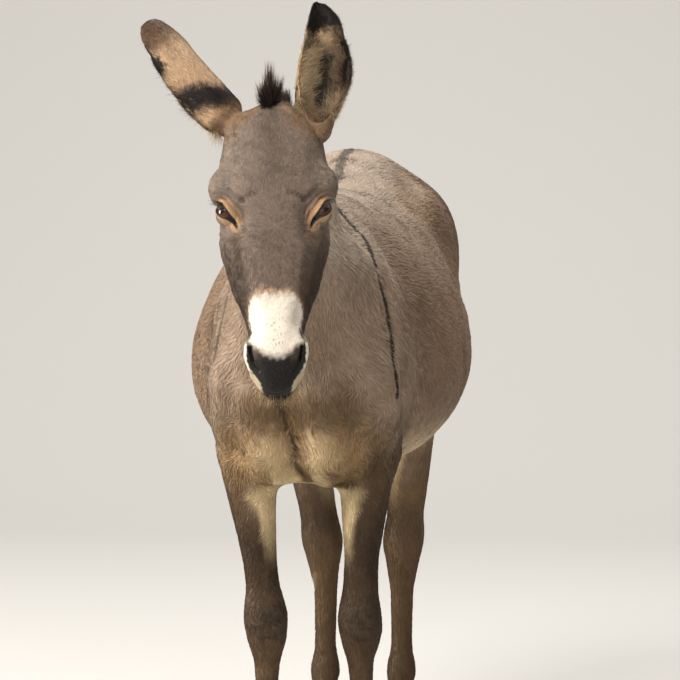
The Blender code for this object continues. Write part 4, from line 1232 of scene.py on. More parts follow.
def lid_edge(socket, hide):
    """The bare black edge of both lids: a soft cord round the opening."""
    rim = np.concatenate([socket.upper[:-1], socket.lower[:0:-1]])
    ball = EYE_RADIUS + 0.0007
    spine = []
    for along, across in rim:
        spot, _, _, _ = hide.ray_cast(socket.place(along, across, 0.05), -socket.out, 0.1)
        reach = math.hypot(along, across)
        height = math.sqrt(max(ball ** 2 - reach ** 2, 0.0)) if reach < BALL_REACH else -1
        top = (Vector(spot) - socket.centre).dot(socket.out) if spot is not None else 0
        spine.append((along, across, max(height, top - 0.0016)))
    spine = np.array(spine)
    for _ in range(6):
        spine = 0.25 * np.roll(spine, 1, 0) + 0.5 * spine + 0.25 * np.roll(spine, -1, 0)
    count, around = len(spine), EDGE_AROUND
    points, faces = [], []
    for n in range(count):
        ahead = spine[(n + 1) % count] - spine[n - 1]
        ahead /= np.linalg.norm(ahead)
        up = np.array([0, 0, 1.0]) - ahead * ahead[2]
        up /= np.linalg.norm(up)
        sideways = np.cross(ahead, up)
        thick = EDGE_THICK * (0.55 + 0.45 * ease(0.034, 0.015, spine[n, 0]))
        for k in range(around):
            turn = 2 * math.pi * k / around
            off = thick * (math.cos(turn) * sideways + math.sin(turn) * up)
            points.append(socket.place(*(spine[n] + off)))
            faces.append((n * around + k, n * around + (k + 1) % around,
                          ((n + 1) % count) * around + (k + 1) % around, ((n + 1) % count) * around + k))
    edge = put_together(socket.node.replace("eye", "lid_edge"), points, faces)
    edit_all(edge, bpy.ops.mesh.normals_make_consistent, inside=False)
    smooth(edge.data)
    return edge


EYE_FINISH = eye_material()
LID_FINISH, _ = plain_material("lid edge", LID_BLACK, 0.42)
for socket in SOCKETS:
    ball = eyeball(socket)
    ball.data.materials.append(EYE_FINISH)
    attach(ball, "root")
    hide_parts(socket.node)
    edge = lid_edge(socket, hide_surface)
    edge.data.materials.append(LID_FINISH)
    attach(edge, "root")


# ---------------------------------------------------------------------------
# The coat: short hair in flat tufts that lie as a donkey's hair grows, from a
# whorl on the forehead and from the poll back along the trunk and down the
# legs. Each tuft is one thin closed spindle rooted in the hide, and the tufts
# are kept apart by the part of the body that they grow on.
# ---------------------------------------------------------------------------
WHORL_DOWN = 0.199
TUFTS = 300000
HIDE_PATCH = 0.0030
ROOT_DEPTH = 0.0006
TUFT_BODY = np.array([0.0180, 0.0016, 0.0017])     # length, width and rise of the tufts
TUFT_FACE = np.array([0.0085, 0.0009, 0.0009])
TUFT_LEG = np.array([0.0110, 0.0011, 0.0012])
TUFT_EAR = np.array([0.0080, 0.0008, 0.0012])
TUFT_CUT = np.array([0.60, 0.35, 0.70])            # how much less, on muzzle and round eyes


def unit(vectors):
    """Vectors brought to length one."""
    return vectors / np.maximum(np.linalg.norm(vectors, axis=1), 1e-9)[:, None]


def hair_lie(places, slopes):
    """The way the hair points at many places, along the hide."""
    x, y, z = places.T
    across, down, out = head_places(places).T
    side = np.abs(across)
    head, legs = head_share(places), leg_share(places)

    def towards(share, way):
        """A pull along one way, as strong as share."""
        return share[:, None] * np.array(way)

    flow = towards(np.ones(len(places)), (0.0, 1.0, -0.28))
    flow += towards(3 * ease(-0.08, -0.30, y) * ease(0.72, 0.86, z), (0.0, 0.78, -0.62))
    flow += towards(2 * ease(0.05, -0.15, y) * ease(0.95, 0.80, z), (0.0, 0.35, -0.95))
    breast = 4 * ease(-0.22, -0.31, y) * ease(0.86, 0.72, z)
    flow += towards(breast, (0.0, 0.1, -1.0)) + np.outer(breast * 0.6 * np.sign(x + 0.015), (1, 0, 0))
    flow += towards(3 * ease(0.38, 0.56, y), (0.0, 0.30, -0.95))
    flow += towards(3 * ease(0.66, 0.58, z) * ease(0.0, -0.7, slopes[:, 2]), (0.0, 1.0, 0.0))
    flow = flow * (1 - legs)[:, None] + towards(legs, (0.0, 0.06, -1.0))

    radius = np.hypot(across, down - WHORL_DOWN) + 1e-4
    far = ease(0.03, 0.10, radius)
    on_side = ease(0.045, 0.085, side + np.clip(-out - 0.03, 0, 1))
    run_side = (across / radius) * (1 - far) + far * 0.30 * np.sign(across) * ease(0, 0.03, side)
    run_down = ((down - WHORL_DOWN) / radius) * (1 - far) + far * np.sign(down - WHORL_DOWN)
    run_down = np.where(on_side > 0.5, np.maximum(run_down, -0.2), run_down)
    turn = np.array([HEAD_SIDE, HEAD_DOWN, HEAD_OUT])
    on_face = np.stack([run_side, run_down, -1.0 * on_side], 1) @ turn
    flow = flow * (1 - head)[:, None] + on_face * head[:, None]

    for ear in EAR_FRAMES:
        on_ear = ear.share(places)
        _, wide, _ = ear.measures(places)
        inner = ease(0.10, 0.45, slopes @ ear.opening)
        way = ear.run[None] + np.outer(inner * np.sign(wide) * 1.2, ear.wide)
        flow = flow * (1 - on_ear)[:, None] + way * on_ear[:, None]

    flow = unit(flow - slopes * (flow * slopes).sum(1)[:, None])
    crinkle = head * (0.50 * ripple(places, 0.013, 21) + 0.25 * ripple(places, 0.030, 22))
    crinkle += (1 - head) * (0.20 * ripple(places, 0.070, 23) + 0.10 * ripple(places, 0.022, 24))
    chest = ease(-0.16, -0.24, y) * ease(0.80, 0.74, z) * (1 - head)
    crinkle += chest * (0.45 * ripple(places, 0.060, 25) + 0.25 * ripple(places, 0.025, 26))
    sideways = np.cross(slopes, flow)
    return unit(flow * np.cos(crinkle)[:, None] + sideways * np.sin(crinkle)[:, None])


def sow(piece, thickness, count, seed):
    """Roots spread over a mesh by how thick the hair is: places, slopes and map places."""
    mesh = piece.data
    mesh.calc_loop_triangles()
    corners = read(mesh.loop_triangles, "vertices", 3, np.int32)
    loops = read(mesh.loop_triangles, "loops", 3, np.int32)
    areas = read(mesh.loop_triangles, "area", 1)[:, 0]
    points, slopes = points_of(piece), normals_of(piece)
    charts = read(mesh.uv_layers["OFBake"].data, "uv", 2)
    weight = areas * thickness(points[corners].mean(1), slopes[corners].mean(1))
    heap = np.cumsum(weight)
    dice = np.random.default_rng(seed)
    chosen = np.searchsorted(heap, dice.random(count) * heap[-1])
    share = dice.random((count, 2))
    share[share.sum(1) > 1] = 1 - share[share.sum(1) > 1]
    share = np.column_stack([1 - share.sum(1), share])

    def mixed(values, rows):
        """A value between the three corners of each chosen triangle."""
        return (values[rows] * share[:, :, None]).sum(1)

    rows = corners[chosen]
    return mixed(points, rows), unit(mixed(slopes, rows)), mixed(charts, loops[chosen])


def hair_mesh(name, points, faces, colours, charts, shine=None):
    """A mesh of many small closed solids, with its colours, its map and the slope that catches the light."""
    mesh = bpy.data.meshes.new(name)
    mesh.vertices.add(len(points))
    mesh.vertices.foreach_set("co", points.ravel())
    mesh.loops.add(faces.size)
    mesh.loops.foreach_set("vertex_index", faces.ravel())
    mesh.polygons.add(len(faces))
    mesh.polygons.foreach_set("loop_start", np.arange(len(faces)) * 3)
    mesh.polygons.foreach_set("loop_total", np.full(len(faces), 3))
    smooth(mesh)
    mesh.update(calc_edges=True)
    layer = mesh.uv_layers.new(name="OFBake")
    layer.data.foreach_set("uv", charts[faces.ravel()].ravel().astype(np.float32))
    if shine is not None:
        mesh.normals_split_custom_set_from_vertices(shine)
    piece = bpy.data.objects.new(name, mesh)
    bpy.context.scene.collection.objects.link(piece)
    paint_points(piece, colours)
    mesh.materials.append(HAIR)
    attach(piece, "root")
    return piece


TUFT_FACES = np.array([(0, 1, 2), (1, 3, 2), (0, 2, 3), (0, 3, 1)])
TUFT_CHART = np.array([(0, -0.5), (-0.35, 0.0), (0.35, 0.0), (0, 0.5)])
# per-vertex tone of a tuft: darker at the root, partly painted shade between the tufts, and lighter at the
# tip
TUFT_ROOT_SHADE_TO_TIP = np.array([0.90, 0.98, 0.98, 1.06])


def tufts(roots, slopes, ways, length, width, rise):
    """Points of flat four-sided tufts that follow the hide: root, both sides, tip."""
    tips = roots + ways * length[:, None]
    ends = np.empty_like(tips)
    for number, tip in enumerate(tips):
        spot, slope, _, _ = hide_surface.find_nearest(tip)
        ends[number] = spot + slope * rise[number]
    body = roots * 0.55 + ends * 0.45 + slopes * (rise * 0.30)[:, None]
    sideways = np.cross(slopes, ways) * (width / 2)[:, None]
    return np.stack([roots - slopes * ROOT_DEPTH, body - sideways, body + sideways, ends], 1).reshape(-1, 3)


def bare(places):
    """0 where no hair grows: eyelid edges, nose leather and nostrils."""
    across, down, out = head_places(places).T
    hairy = np.ones(len(places))
    for socket in SOCKETS:
        hairy *= ease(0.0012, 0.0030, socket.near(places)[3])
    side = np.abs(across)
    leather = (down > 0.4145 - 15.0 * side ** 2) & (side < np.interp(down, *NOSE_EDGE)) & (out > -0.062)
    hole = np.hypot(side - 0.0390, np.clip(np.abs(down - 0.403) - 0.012, 0, 1))
    return hairy * ease(0.0030, 0.0055, hole) * (1 - leather * head_share(places))


def coat_thickness(places, _):
    """How many tufts grow on each bit of hide."""
    head, legs = head_share(places), leg_share(places)
    down = head_places(places)[:, 1]
    thick = 1.0 + 2.0 * head + 1.0 * legs + 2.0 * head * ease(0.27, 0.36, down)
    for ear in EAR_FRAMES:
        thick += 1.5 * ear.share(places)
    nose = head * ease(0.395, 0.405, down)
    thick += 1.5 * ease(0.014, 0.008, off_stripe(places))
    return thick * (1 - 0.5 * nose) * bare(places)


def hair_material():
    """One finish for all hair: its own colour, a soft shine along it."""
    material, shader = plain_material("hair", DUN, 0.62)
    shader.inputs["Specular IOR Level"].default_value = 0.16
    _, _, mix = toned_paint(material, 900.0, 2.0, 0.80, 1.20)
    wire(material, (mix, "Vector", shader, "Base Color"))
    return material


HAIR = hair_material()


def coat_sizes(roots):
    """Length, width and rise of the tufts at their roots."""
    head, legs = head_share(roots), leg_share(roots)
    fine = head * ease(0.27, 0.36, head_places(roots)[:, 1])
    for socket in SOCKETS:
        fine = np.maximum(fine, ease(0.045, 0.025, np.linalg.norm(roots - np.array(socket.centre), axis=1)))
    sizes = TUFT_BODY + np.outer(head, TUFT_FACE - TUFT_BODY) + np.outer(legs, TUFT_LEG - TUFT_BODY)
    sizes *= 1 - np.outer(fine, TUFT_CUT)
    sizes[:, 0] *= 1 + 0.5 * ease(0.11, 0.07, roots[:, 2])
    sizes[:, 0] *= 1 - 0.55 * ease(0.016, 0.008, off_stripe(roots))
    for ear in EAR_FRAMES:
        sizes += (TUFT_EAR - sizes) * ear.share(roots)[:, None]
    return sizes.T


def grow_coat():
    """Sows the tufts, shapes them and joins them by the part of the body they grow on."""
    dice = np.random.default_rng(7)
    roots, slopes, charts = sow(skin, coat_thickness, TUFTS, 11)
    ways = hair_lie(roots, slopes)
    stray = dice.normal(0, 0.13, TUFTS)
    ways = unit(ways * np.cos(stray)[:, None] + np.cross(slopes, ways) * np.sin(stray)[:, None])
    length, width, rise = coat_sizes(roots)
    length *= dice.uniform(0.65, 1.25, TUFTS)
    width *= dice.uniform(0.70, 1.20, TUFTS)
    rise *= dice.uniform(0.55, 1.45, TUFTS)
    points = tufts(roots, slopes, ways, length, width, rise)
    head = head_share(roots)
    white = head * ease(0.29, 0.31, head_places(roots)[:, 1])
    spread = 0.095 + 0.065 * head - 0.12 * white
    colours = coat_colours(roots, slopes) * np.exp(dice.normal(0, 1, TUFTS) * spread)[:, None]
    clumps = 0.08 * head * ripple(roots, 0.011, 31)
    clumps += 0.06 * ripple(roots, 0.0055, 32) + 0.06 * ripple(roots, 0.030, 33)
    colours *= (1 + clumps * (1 - white))[:, None]
    # tufts darker at the root as painted shade between them, lighter at the tip
    colours = np.clip(colours[:, None, :] * TUFT_ROOT_SHADE_TO_TIP[None, :, None], 0.003, 0.95).reshape(-1, 3)
    charts = (charts[:, None, :] + TUFT_CHART[None] * HIDE_PATCH).reshape(-1, 2)
    lean = unit(slopes + ways * 0.10 + 0.10 * dice.normal(size=slopes.shape))
    sideways = np.cross(slopes, ways) * 0.35
    shine = np.stack([lean, unit(lean - sideways), unit(lean + sideways), lean], 1).reshape(-1, 3)

    x, y, _ = roots.T
    head, legs = head_share(roots) > 0.5, leg_share(roots) > 0.5
    on_ears = sum(ear.share(roots) for ear in EAR_FRAMES) > 0.5
    left, trunk = x > -0.005, ~(head | legs | on_ears)
    parts = {"coat_ears": on_ears, "coat_head_left": head & ~on_ears & (head_places(roots)[:, 0] > 0),
             "coat_head_right": head & ~on_ears & (head_places(roots)[:, 0] <= 0),
             "coat_fore_legs": legs & (y < FORE_END) & ~on_ears,
             "coat_hind_legs": legs & (y >= FORE_END) & ~on_ears}
    for side, mask in (("left", left), ("right", ~left)):
        parts["coat_neck_" + side] = trunk & mask & (y < NECK_END)
        parts["coat_barrel_" + side] = trunk & mask & (y >= NECK_END) & (y < BARREL_END)
        parts["coat_quarters_" + side] = trunk & mask & (y >= BARREL_END)
    for name, mask in parts.items():
        chosen = np.nonzero(mask)[0]
        rows = (chosen[:, None] * 4 + np.arange(4)).ravel()
        faces = (np.arange(len(chosen))[:, None, None] * 4 + TUFT_FACES[None]).reshape(-1, 3)
        coat = hair_mesh(name, points[rows], faces, colours[rows], charts[rows], shine[rows])


grow_coat()


# ---------------------------------------------------------------------------
# The mane: a short, stiff, upright crest of dark hair from the poll to the
# withers, rooted in the hide along the top of the neck.
# ---------------------------------------------------------------------------
MANE_HAIRS, MANE_KNOTS, MANE_WIDTH = 5200, 5, (0.0011, 0.0018)
MANE_LOW, MANE_RISE = 0.012, 0.032
MANE_DARK, MANE_TIP = (0.014, 0.010, 0.008), (0.034, 0.021, 0.015)
THIRDS = 0.0, 2.094, 4.189             # of a turn: where a strand's three edges are


def strands(name, paths, width, colours):
    """Long hairs: each path becomes one closed, tapering, three-sided strand."""
    count, knots = paths.shape[:2]
    rings = knots - 2
    dice = np.random.default_rng(count)
    run = unit(paths[:, -1] - paths[:, 0])
    first = unit(np.cross(run, dice.normal(size=(count, 3))))
    second = np.cross(run, first)
    taper = np.linspace(1.0, 0.45, rings)
    points = [paths[:, :1]]
    for ring in range(rings):
        for turn in THIRDS:
            off = (math.cos(turn) * first + math.sin(turn) * second) * (width * 0.5 * taper[ring])[:, None]
            points.append((paths[:, ring + 1] + off)[:, None])
    points.append(paths[:, -1:])
    per = rings * 3 + 2
    points = np.concatenate(points, 1).reshape(-1, 3)
    pattern = [(0, 1 + (k + 1) % 3, 1 + k) for k in range(3)]
    for ring in range(rings - 1):
        for k in range(3):
            a, b = 1 + ring * 3 + k, 1 + ring * 3 + (k + 1) % 3
            pattern += [(a, b, b + 3), (a, b + 3, a + 3)]
    last = 1 + (rings - 1) * 3
    pattern += [(last + k, last + (k + 1) % 3, per - 1) for k in range(3)]
    faces = (np.arange(count)[:, None, None] * per + np.array(pattern)[None]).reshape(-1, 3)
    at = np.concatenate([[0], np.repeat(np.arange(1, knots - 1), 3), [knots - 1]])
    shades = colours[:, at].reshape(-1, 3)
    spots = nearest_charts(paths[:, 0])
    spread = np.column_stack([np.zeros(per), (at / (knots - 1) - 0.5)])
    spread[:, 0] = np.concatenate([[0], np.tile([-0.4, 0.0, 0.4], rings), [0]])
    charts = (spots[:, None] + spread[None] * HIDE_PATCH).reshape(-1, 2)
    piece = hair_mesh(name, points, faces, np.clip(shades, 0.002, 0.95), charts)
    return piece


CHART_OF_CORNER = read(skin.data.uv_layers["OFBake"].data, "uv", 2)


def nearest_charts(roots):
    """The place on the hide's map below each root."""
    found = np.zeros((len(roots), 2))
    for number, root in enumerate(roots):
        _, _, face, _ = hide_surface.find_nearest(Vector(root))
        found[number] = CHART_OF_CORNER[skin.data.polygons[face].loop_start]
    return found


def curve_paths(roots, ways, length, knots, bend, sag=0.0):
    """Paths that start along ways and are bent sideways (and down) as they run."""
    steps = np.linspace(0, 1, knots)[None, :, None]
    paths = roots[:, None] + ways[:, None] * length[:, None, None] * steps
    paths = paths + bend[:, None] * length[:, None, None] * steps ** 2
    paths[:, :, 2] -= sag * length[:, None] * steps[:, :, 0] ** 2
    return paths


def shades_of(count, spread, dice):
    """How much lighter or darker each hair is as a whole."""
    return np.exp(dice.normal(0, spread, (count, 1, 1)))


def dip_to_tip(colour, tip, count, knots, dice):
    """Colours that run from root to tip, a little different on every hair."""
    steps = np.linspace(0, 1, knots)[None, :, None] ** 1.5
    base = np.array(colour)[None, None] * (1 - steps) + np.array(tip)[None, None] * steps
    return base * shades_of(count, 0.18, dice)


def let_in(roots, otherwise):
    """Sets each root 3 mm into the hide below it, or at the height given where there is none."""
    for number, root in enumerate(roots):
        spot, _, _, _ = hide_surface.ray_cast(Vector(root), Vector((0, 0, -1)), 0.2)
        roots[number, 2] = spot.z - 0.003 if spot is not None else otherwise[number]


def crest_of(node, slices):
    """The solid's foot, top, middle and half width at some places along it."""
    solid = points_of(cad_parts[node])
    at = np.linspace(solid[:, 1].min() + 0.004, solid[:, 1].max() - 0.004, slices)
    rows = []
    for y in at:
        near = solid[np.argsort(np.abs(solid[:, 1] - y))[:14]]
        rows.append((near[:, 2].min(), near[:, 2].max(), (near[:, 0].min() + near[:, 0].max()) / 2,
                     (near[:, 0].max() - near[:, 0].min()) / 2))
    return at, np.array(rows)


def grow_mane():
    """Hairs all along the crest, in ripples, shorter at both ends."""
    dice = np.random.default_rng(41)
    at, rows = crest_of("mane", 16)
    y = dice.uniform(at[0], at[-1], MANE_HAIRS)
    foot, top, mid, half = (np.interp(y, at, rows[:, n]) for n in range(4))
    spread = dice.uniform(-1, 1, MANE_HAIRS)
    roots = np.column_stack([mid + spread * half * 0.75, y, top])
    let_in(roots, foot)
    along = (y - at[0]) / (at[-1] - at[0])
    tall = MANE_LOW + MANE_RISE * ease(-0.02, 0.10, along) * ease(1.02, 0.70, along)
    tall *= dice.uniform(0.70, 1.08, MANE_HAIRS)
    clump = ripple(roots, 0.030, 43)
    tall *= 1 + 0.08 * clump
    ways = np.column_stack([spread * 0.16 + 0.10 * clump, 0.10 + 0.10 * dice.normal(size=MANE_HAIRS),
                            np.ones(MANE_HAIRS)])
    bend = np.column_stack([0.10 * clump + 0.05 * dice.normal(size=MANE_HAIRS),
                            0.10 + 0.14 * ripple(roots, 0.045, 44), np.zeros(MANE_HAIRS)])
    paths = curve_paths(roots, ways, tall, MANE_KNOTS, bend)
    strands("mane_hair", paths, dice.uniform(*MANE_WIDTH, MANE_HAIRS),
            dip_to_tip(MANE_DARK, MANE_TIP, MANE_HAIRS, MANE_KNOTS, dice))


grow_mane()
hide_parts("mane")


# ---------------------------------------------------------------------------
# The forelock: a wispy dark tuft that stands up from the poll between the
# ears and bleaches to rust at its tips.
# ---------------------------------------------------------------------------
FORELOCK_HAIRS, FORELOCK_LOCKS, FORELOCK_KNOTS = 1300, 23, 6
FORELOCK_WIDTH = 0.0005, 0.0009
FORELOCK_DARK, FORELOCK_TIP = (0.013, 0.009, 0.009), (0.100, 0.040, 0.020)


def grow_forelock():
    """Locks that fan out from the poll, every hair of a lock near the same line."""
    dice = np.random.default_rng(47)
    low, high = (np.array(c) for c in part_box("forelock"))
    mid, half = (low + high) / 2, (high - low) / 2
    lock = dice.integers(0, FORELOCK_LOCKS, FORELOCK_HAIRS)
    fan = np.linspace(-1, 1, FORELOCK_LOCKS) + dice.normal(0, 0.08, FORELOCK_LOCKS)
    deep = dice.uniform(-1, 1, FORELOCK_LOCKS)
    reach = (0.45 + 0.55 * np.cos(fan * 1.3)) * dice.uniform(0.60, 1.05, FORELOCK_LOCKS)
    roots = np.column_stack([mid[0] + half[0] * (0.22 * fan[lock] + 0.10 * dice.normal(size=FORELOCK_HAIRS)),
                             mid[1] + half[1] * (0.50 * deep[lock] + 0.16 * dice.normal(size=FORELOCK_HAIRS)),
                             np.full(FORELOCK_HAIRS, high[2])])
    let_in(roots, np.full(FORELOCK_HAIRS, low[2] - 0.003))
    tips = np.column_stack([mid[0] + half[0] * (0.80 * fan[lock] + 0.16 * dice.normal(size=FORELOCK_HAIRS)),
                            mid[1] + half[1] * (0.90 * deep[lock] + 0.15 * dice.normal(size=FORELOCK_HAIRS)),
                            low[2] + 2 * half[2] * reach[lock] * dice.uniform(0.35, 1.0, FORELOCK_HAIRS)])
    run = tips - roots
    length = np.linalg.norm(run, axis=1)
    bow = np.column_stack([0.25 * fan[lock] + 0.05 * dice.normal(size=FORELOCK_HAIRS),
                           0.08 * dice.normal(size=FORELOCK_HAIRS), np.zeros(FORELOCK_HAIRS)])
    paths = curve_paths(roots, unit(run) + bow, length, FORELOCK_KNOTS, -bow)
    steps = np.linspace(0, 1, FORELOCK_KNOTS)[None, :, None]
    rust = (dice.random(FORELOCK_HAIRS) < 0.60)[:, None, None] * ease(0.55, 1.0, steps)
    colours = np.array(FORELOCK_DARK)[None, None] * (1 - rust) + np.array(FORELOCK_TIP)[None, None] * rust
    colours = colours * shades_of(FORELOCK_HAIRS, 0.25, dice)
    hair = strands("forelock_hair", paths, dice.uniform(*FORELOCK_WIDTH, FORELOCK_HAIRS),
                   colours)
    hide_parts("forelock")


grow_forelock()


# ---------------------------------------------------------------------------
# The switch: long dark hair that hangs in locks from the last third of the
# tail, full in its middle and thinner towards its end.
# ---------------------------------------------------------------------------
SWITCH_HAIRS, SWITCH_LOCKS, SWITCH_KNOTS = 2600, 26, 9
SWITCH_WIDTH = 0.0010, 0.0019
SWITCH_DARK, SWITCH_TIP = (0.024, 0.017, 0.013), (0.050, 0.032, 0.022)


def grow_switch():
    """Hairs that leave the dock all round, spread inside the solid and draw in below."""
    dice = np.random.default_rng(53)
    low, high = (np.array(c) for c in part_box("tail_switch"))
    solid = points_of(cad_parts["tail_switch"])
    top = solid[solid[:, 2] > high[2] - 0.004]
    start, mid = top.mean(0), (low + high) / 2
    thick = np.hypot(*(top[:, :2] - start[:2]).T).max()
    turn, out = dice.uniform(0, 2 * math.pi, SWITCH_HAIRS), np.sqrt(dice.random(SWITCH_HAIRS))
    begin = high[2] + 0.15 * dice.random(SWITCH_HAIRS) ** 1.5 - 0.02
    short = 0.42 * out * dice.random(SWITCH_HAIRS) + 0.10 * dice.random(SWITCH_HAIRS) ** 2
    end = low[2] + 0.004 + (high[2] - low[2]) * short
    lock = dice.normal(size=(SWITCH_LOCKS, 2))[np.floor(turn / (2 * math.pi) * SWITCH_LOCKS).astype(int)]
    steps = np.linspace(0, 1, SWITCH_KNOTS)
    z = begin[:, None] + (end - begin)[:, None] * steps
    share = np.clip((high[2] - z) / (high[2] - low[2]), 0, 1)
    centre_x = start[0] + (mid[0] - start[0]) * np.minimum(share * 2, 1)
    centre_y = start[1] + (mid[1] - start[1]) * np.minimum(share * 2, 1)
    full = np.sin(np.minimum(share / 0.42, 1) * math.pi / 2) * (1 - 0.55 * ease(0.45, 1.0, share))
    full *= 0.82 + 0.12 * np.clip(lock[:, :1], -1.4, 1.4) * ease(0.1, 0.5, share)
    radius = thick * 0.95 * np.maximum(1 - 3.0 * share, 0) ** 0.7
    radius = radius + (0.5 * (high[0] - low[0]) - 0.003) * full * out[:, None]
    sway = 0.22 * lock[:, 1:] * np.sin(share * 3.2) + 0.10 * np.sin(share * 7 + turn[:, None] * 5)
    x = centre_x + radius * np.cos(turn[:, None] + sway)
    y = centre_y + radius * np.sin(turn[:, None] + sway)
    paths = np.stack([x, y, z], 2)
    hair = strands("switch_hair", paths, dice.uniform(*SWITCH_WIDTH, SWITCH_HAIRS),
                   dip_to_tip(SWITCH_DARK, SWITCH_TIP, SWITCH_HAIRS, SWITCH_KNOTS, dice))
    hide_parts("tail_switch")


grow_switch()


# ---------------------------------------------------------------------------
# Hair of the ears: long soft cream hair that crosses the hollow of each ear,
# and a fringe along its edges, dark towards the tip.
# ---------------------------------------------------------------------------
HOLLOW_HAIRS, FRINGE_HAIRS, EAR_KNOTS = 5200, 3600, 5
EAR_HAIR_WIDTH = 0.00030, 0.00060
HOLLOW_LENGTH, FRINGE_LENGTH = 0.0230, 0.0080
HOLLOW_ROOT, HOLLOW_TIP = (0.200, 0.130, 0.072), (0.600, 0.460, 0.290)


def grow_ear_hair():
    """The hair of the hollows, then the fringe of the edges, both ears at once."""
    dice = np.random.default_rng(59)

    def hollow(places, slopes):
        """How thick the hair grows in the hollow: bare in its depth, full at its foot."""
        thick = np.zeros(len(places))
        for ear in EAR_FRAMES:
            run, across = ear.spots(places)
            inner = (slopes @ ear.opening > 0.12) & (ear.share(places, -0.05) > 0.9) & (np.abs(across) < 0.98)
            beside = 1 - ease(0.46, 0.16, np.abs(across - 0.05)) * ease(0.74, 0.60, run)
            thick += inner * beside * ease(0.95, 0.80, run) * (1 + 1.5 * ease(0.3, 0.05, run))
        return thick

    def fringe(places, _):
        """How thick the hair grows on the edges."""
        thick = np.zeros(len(places))
        for ear in EAR_FRAMES:
            run, across = ear.spots(places)
            edge = ear.share(places) * ease(0.86, 0.97, np.abs(across))
            thick += edge * ease(-0.02, 0.10, run)
        return thick

    for name, sown, count in (("ear_hollow_hair", hollow, HOLLOW_HAIRS),
                              ("ear_fringe", fringe, FRINGE_HAIRS)):
        roots, slopes, _ = sow(skin, sown, count, 61)
        inside = name == "ear_hollow_hair"
        ways, paint, tips = np.zeros((count, 3)), np.zeros((count, 3)), np.zeros((count, 3))
        length = np.zeros(count)
        for ear in EAR_FRAMES:
            mine = ear.share(roots, -0.05) > 0.5
            run, across = ear.spots(roots)
            if inside:
                way = np.outer(-np.sign(across) * 0.55, ear.wide) + ear.run * 0.75 + ear.opening * 0.55
                low_down = ease(0.16, 0.02, run)[:, None]
                way = way * (1 - low_down) + (ear.opening * 0.50 - ear.run * 0.55)[None] * low_down
                size = (HOLLOW_LENGTH - 0.010 * run) * (1 - 0.1 * low_down[:, 0])
            else:
                way = np.outer(np.sign(across) * 0.55, ear.wide) + ear.run * 0.95 + slopes * 0.1
                size = FRINGE_LENGTH * (1 - 0.5 * run)
            dark = ear.black_rim(run + 0.03 * dice.normal(size=count), across, 0.08 if inside else 0.0)
            ways[mine], length[mine] = way[mine], size[mine]
            brown = 0.7 * ease(0.0, 0.5, ear.outer(across)) * ease(0.1, 0.3, run)
            for store, paint_of in ((paint, HOLLOW_ROOT), (tips, HOLLOW_TIP)):
                mixed = lay(np.tile(np.array(paint_of), (count, 1)), brown, EAR_TIP)
                store[mine] = lay(mixed, dark, EAR_DARK)[mine]
        ways = unit(ways + 0.16 * dice.normal(size=(count, 3)))
        length *= dice.uniform(0.55, 1.15, count)
        bend = 0.25 * dice.normal(size=(count, 3)) + 0.25 * slopes
        paths = curve_paths(roots - slopes * ROOT_DEPTH, ways, length, EAR_KNOTS, bend, 0.12)
        steps = np.linspace(0, 1, EAR_KNOTS)[None, :, None]
        colours = paint[:, None] * (1 - steps) + tips[:, None] * steps
        colours *= shades_of(count, 0.20, dice)
        strands(name, paths, dice.uniform(*EAR_HAIR_WIDTH, count), colours)


grow_ear_hair()


# ---------------------------------------------------------------------------
# Lashes and bristles: stiff dark lashes that stand out from each upper lid and
# curve down, and short tan bristles on the chin and below the lips.
# ---------------------------------------------------------------------------
LASHES, LASH_KNOTS, LASH_WIDTH, LASH_LENGTH = 90, 6, (0.00035, 0.00055), (0.010, 0.018)
BRISTLES, BRISTLE_KNOTS, BRISTLE_WIDTH, BRISTLE_LENGTH = 420, 5, (0.0004, 0.0007), (0.006, 0.019)
LASH_DARK, LASH_TIP = (0.030, 0.026, 0.026), (0.120, 0.100, 0.090)
BRISTLE_TAN, BRISTLE_TIP = (0.260, 0.170, 0.080), (0.520, 0.400, 0.240)


def grow_lashes():
    """One row of lashes on the edge of each upper lid."""
    dice = np.random.default_rng(67)
    for socket in SOCKETS:
        along = dice.uniform(-0.019, 0.012, LASHES)
        over = np.interp(along, socket.upper[:, 0], socket.upper[:, 1])
        reach = np.clip((EYE_RADIUS + 0.0012) ** 2 - along ** 2 - over ** 2, 0, None)
        roots = np.array([socket.place(a, b, h) for a, b, h in zip(along, over, np.sqrt(reach))])
        ways = np.array([socket.out * 0.85 + socket.over * 0.15 - socket.run * 0.25 for _ in along])
        ways = unit(ways + 0.14 * dice.normal(size=(LASHES, 3)))
        bend = np.tile(np.array(-socket.over * 0.55 - socket.run * 0.15), (LASHES, 1))
        length = dice.uniform(*LASH_LENGTH, LASHES) * ease(0.020, -0.004, along) + 0.004
        paths = curve_paths(roots, ways, length, LASH_KNOTS, bend)
        strands(socket.node.replace("eye", "lashes"), paths, dice.uniform(*LASH_WIDTH, LASHES),
                dip_to_tip(LASH_DARK, LASH_TIP, LASHES, LASH_KNOTS, dice))


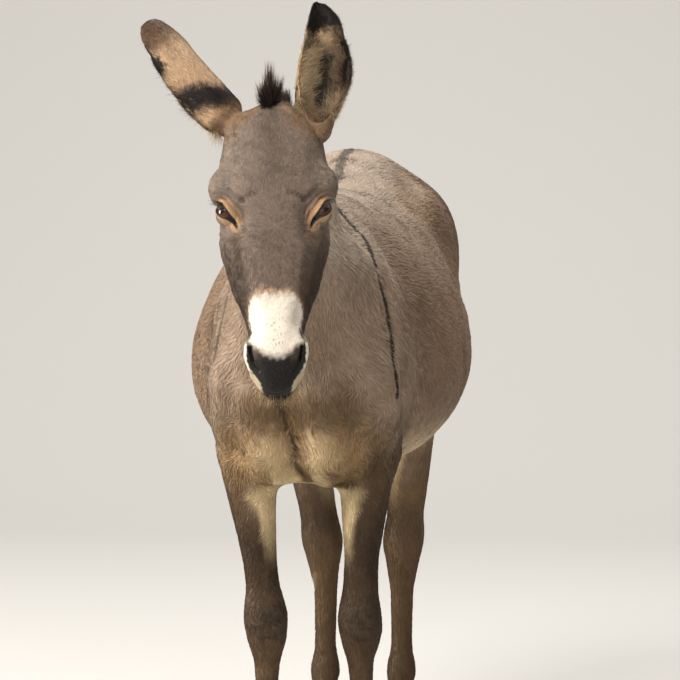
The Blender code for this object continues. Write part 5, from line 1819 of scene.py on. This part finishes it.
def grow_bristles():
    """Bristles rooted where a place thrown near the chin finds the hide."""
    dice = np.random.default_rng(71)
    roots, ways = [], []
    while len(roots) < BRISTLES:
        across = dice.uniform(-0.036, 0.036)
        down, out = dice.uniform(0.40, 0.462), dice.uniform(-0.105, -0.045)
        if dice.random() > math.exp(-((out + 0.082) / 0.016) ** 2):
            continue
        spot, slope, _, gap = hide_surface.find_nearest(on_head(across, down, out))
        if gap < 0.012:
            roots.append(spot - slope * 0.0008)
            ways.append((slope * 0.75 + HEAD_DOWN * 0.55 - HEAD_OUT * 0.2).normalized())
    roots, ways = np.array(roots), unit(np.array(ways) + 0.18 * dice.normal(size=(BRISTLES, 3)))
    length, bend = dice.uniform(*BRISTLE_LENGTH, BRISTLES), 0.2 * dice.normal(size=(BRISTLES, 3))
    paths = curve_paths(roots, ways, length, BRISTLE_KNOTS, bend, 0.1)
    strands("chin_bristles", paths, dice.uniform(*BRISTLE_WIDTH, BRISTLES),
            dip_to_tip(BRISTLE_TAN, BRISTLE_TIP, BRISTLES, BRISTLE_KNOTS, dice))


grow_lashes()
grow_bristles()


# ---------------------------------------------------------------------------
# The hooves: four small, upright, blunt boxes of dark horn with growth rings,
# let in under the hair of the coronet.
# ---------------------------------------------------------------------------
HORN_DARK, HORN_PALE = (0.035, 0.030, 0.026), (0.130, 0.108, 0.085)
RIM = 0.0005                           # edges this near to sole or crown are held sharp


def horn_material():
    """Dark horn with level growth rings, upright streaks and a dull polish."""
    material, shader = plain_material("horn", HORN_DARK, 0.48)
    place = add_node(material, "TexCoord")
    rings = add_node(material, "TexWave", Scale=55.0, Distortion=2.2, Detail=2.0)
    rings.wave_type, rings.bands_direction = "BANDS", "Z"
    stretch = add_node(material, "Mapping", Scale=(260.0, 260.0, 14.0))
    streak = add_node(material, "TexNoise", Scale=1.0)
    ramp = add_ramp(material, (0.35, HORN_DARK), (0.75, HORN_PALE))
    bump = add_node(material, "Bump", Strength=0.45, Distance=0.0012)
    wire(material, (place, "Object", rings, "Vector"), (place, "Object", stretch, "Vector"),
         (stretch, "Vector", streak, "Vector"), (streak, "Fac", ramp, "Fac"),
         (ramp, "Color", shader, "Base Color"), (rings, "Fac", bump, "Height"),
         (bump, "Normal", shader, "Normal"))
    return material


def make_hoof(node, finish):
    """A hoof from its solid: the edges of sole and crown are held, the wall is rounded."""
    hoof = copy_solids(node.replace("hoof", "horn"), [node])
    ends, crown = points_of(hoof)[edges_of(hoof), 2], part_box(node)[1][2]
    held = (ends.max(1) < RIM) | (ends.min(1) > crown - RIM)
    edit_some(hoof, "EDGE", held, bpy.ops.transform.edge_crease, value=1.0)
    finish_modifier(hoof, "SUBSURF", levels=3, render_levels=3)
    smooth(hoof.data)
    take(hoof)
    bpy.ops.object.shade_smooth_by_angle(angle=math.radians(45))
    hoof.data.materials.append(finish)
    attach(hoof, "root")
    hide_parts(node)


HORN = horn_material()
for limb, _ in LIMBS:
    make_hoof(limb + "_hoof", HORN)
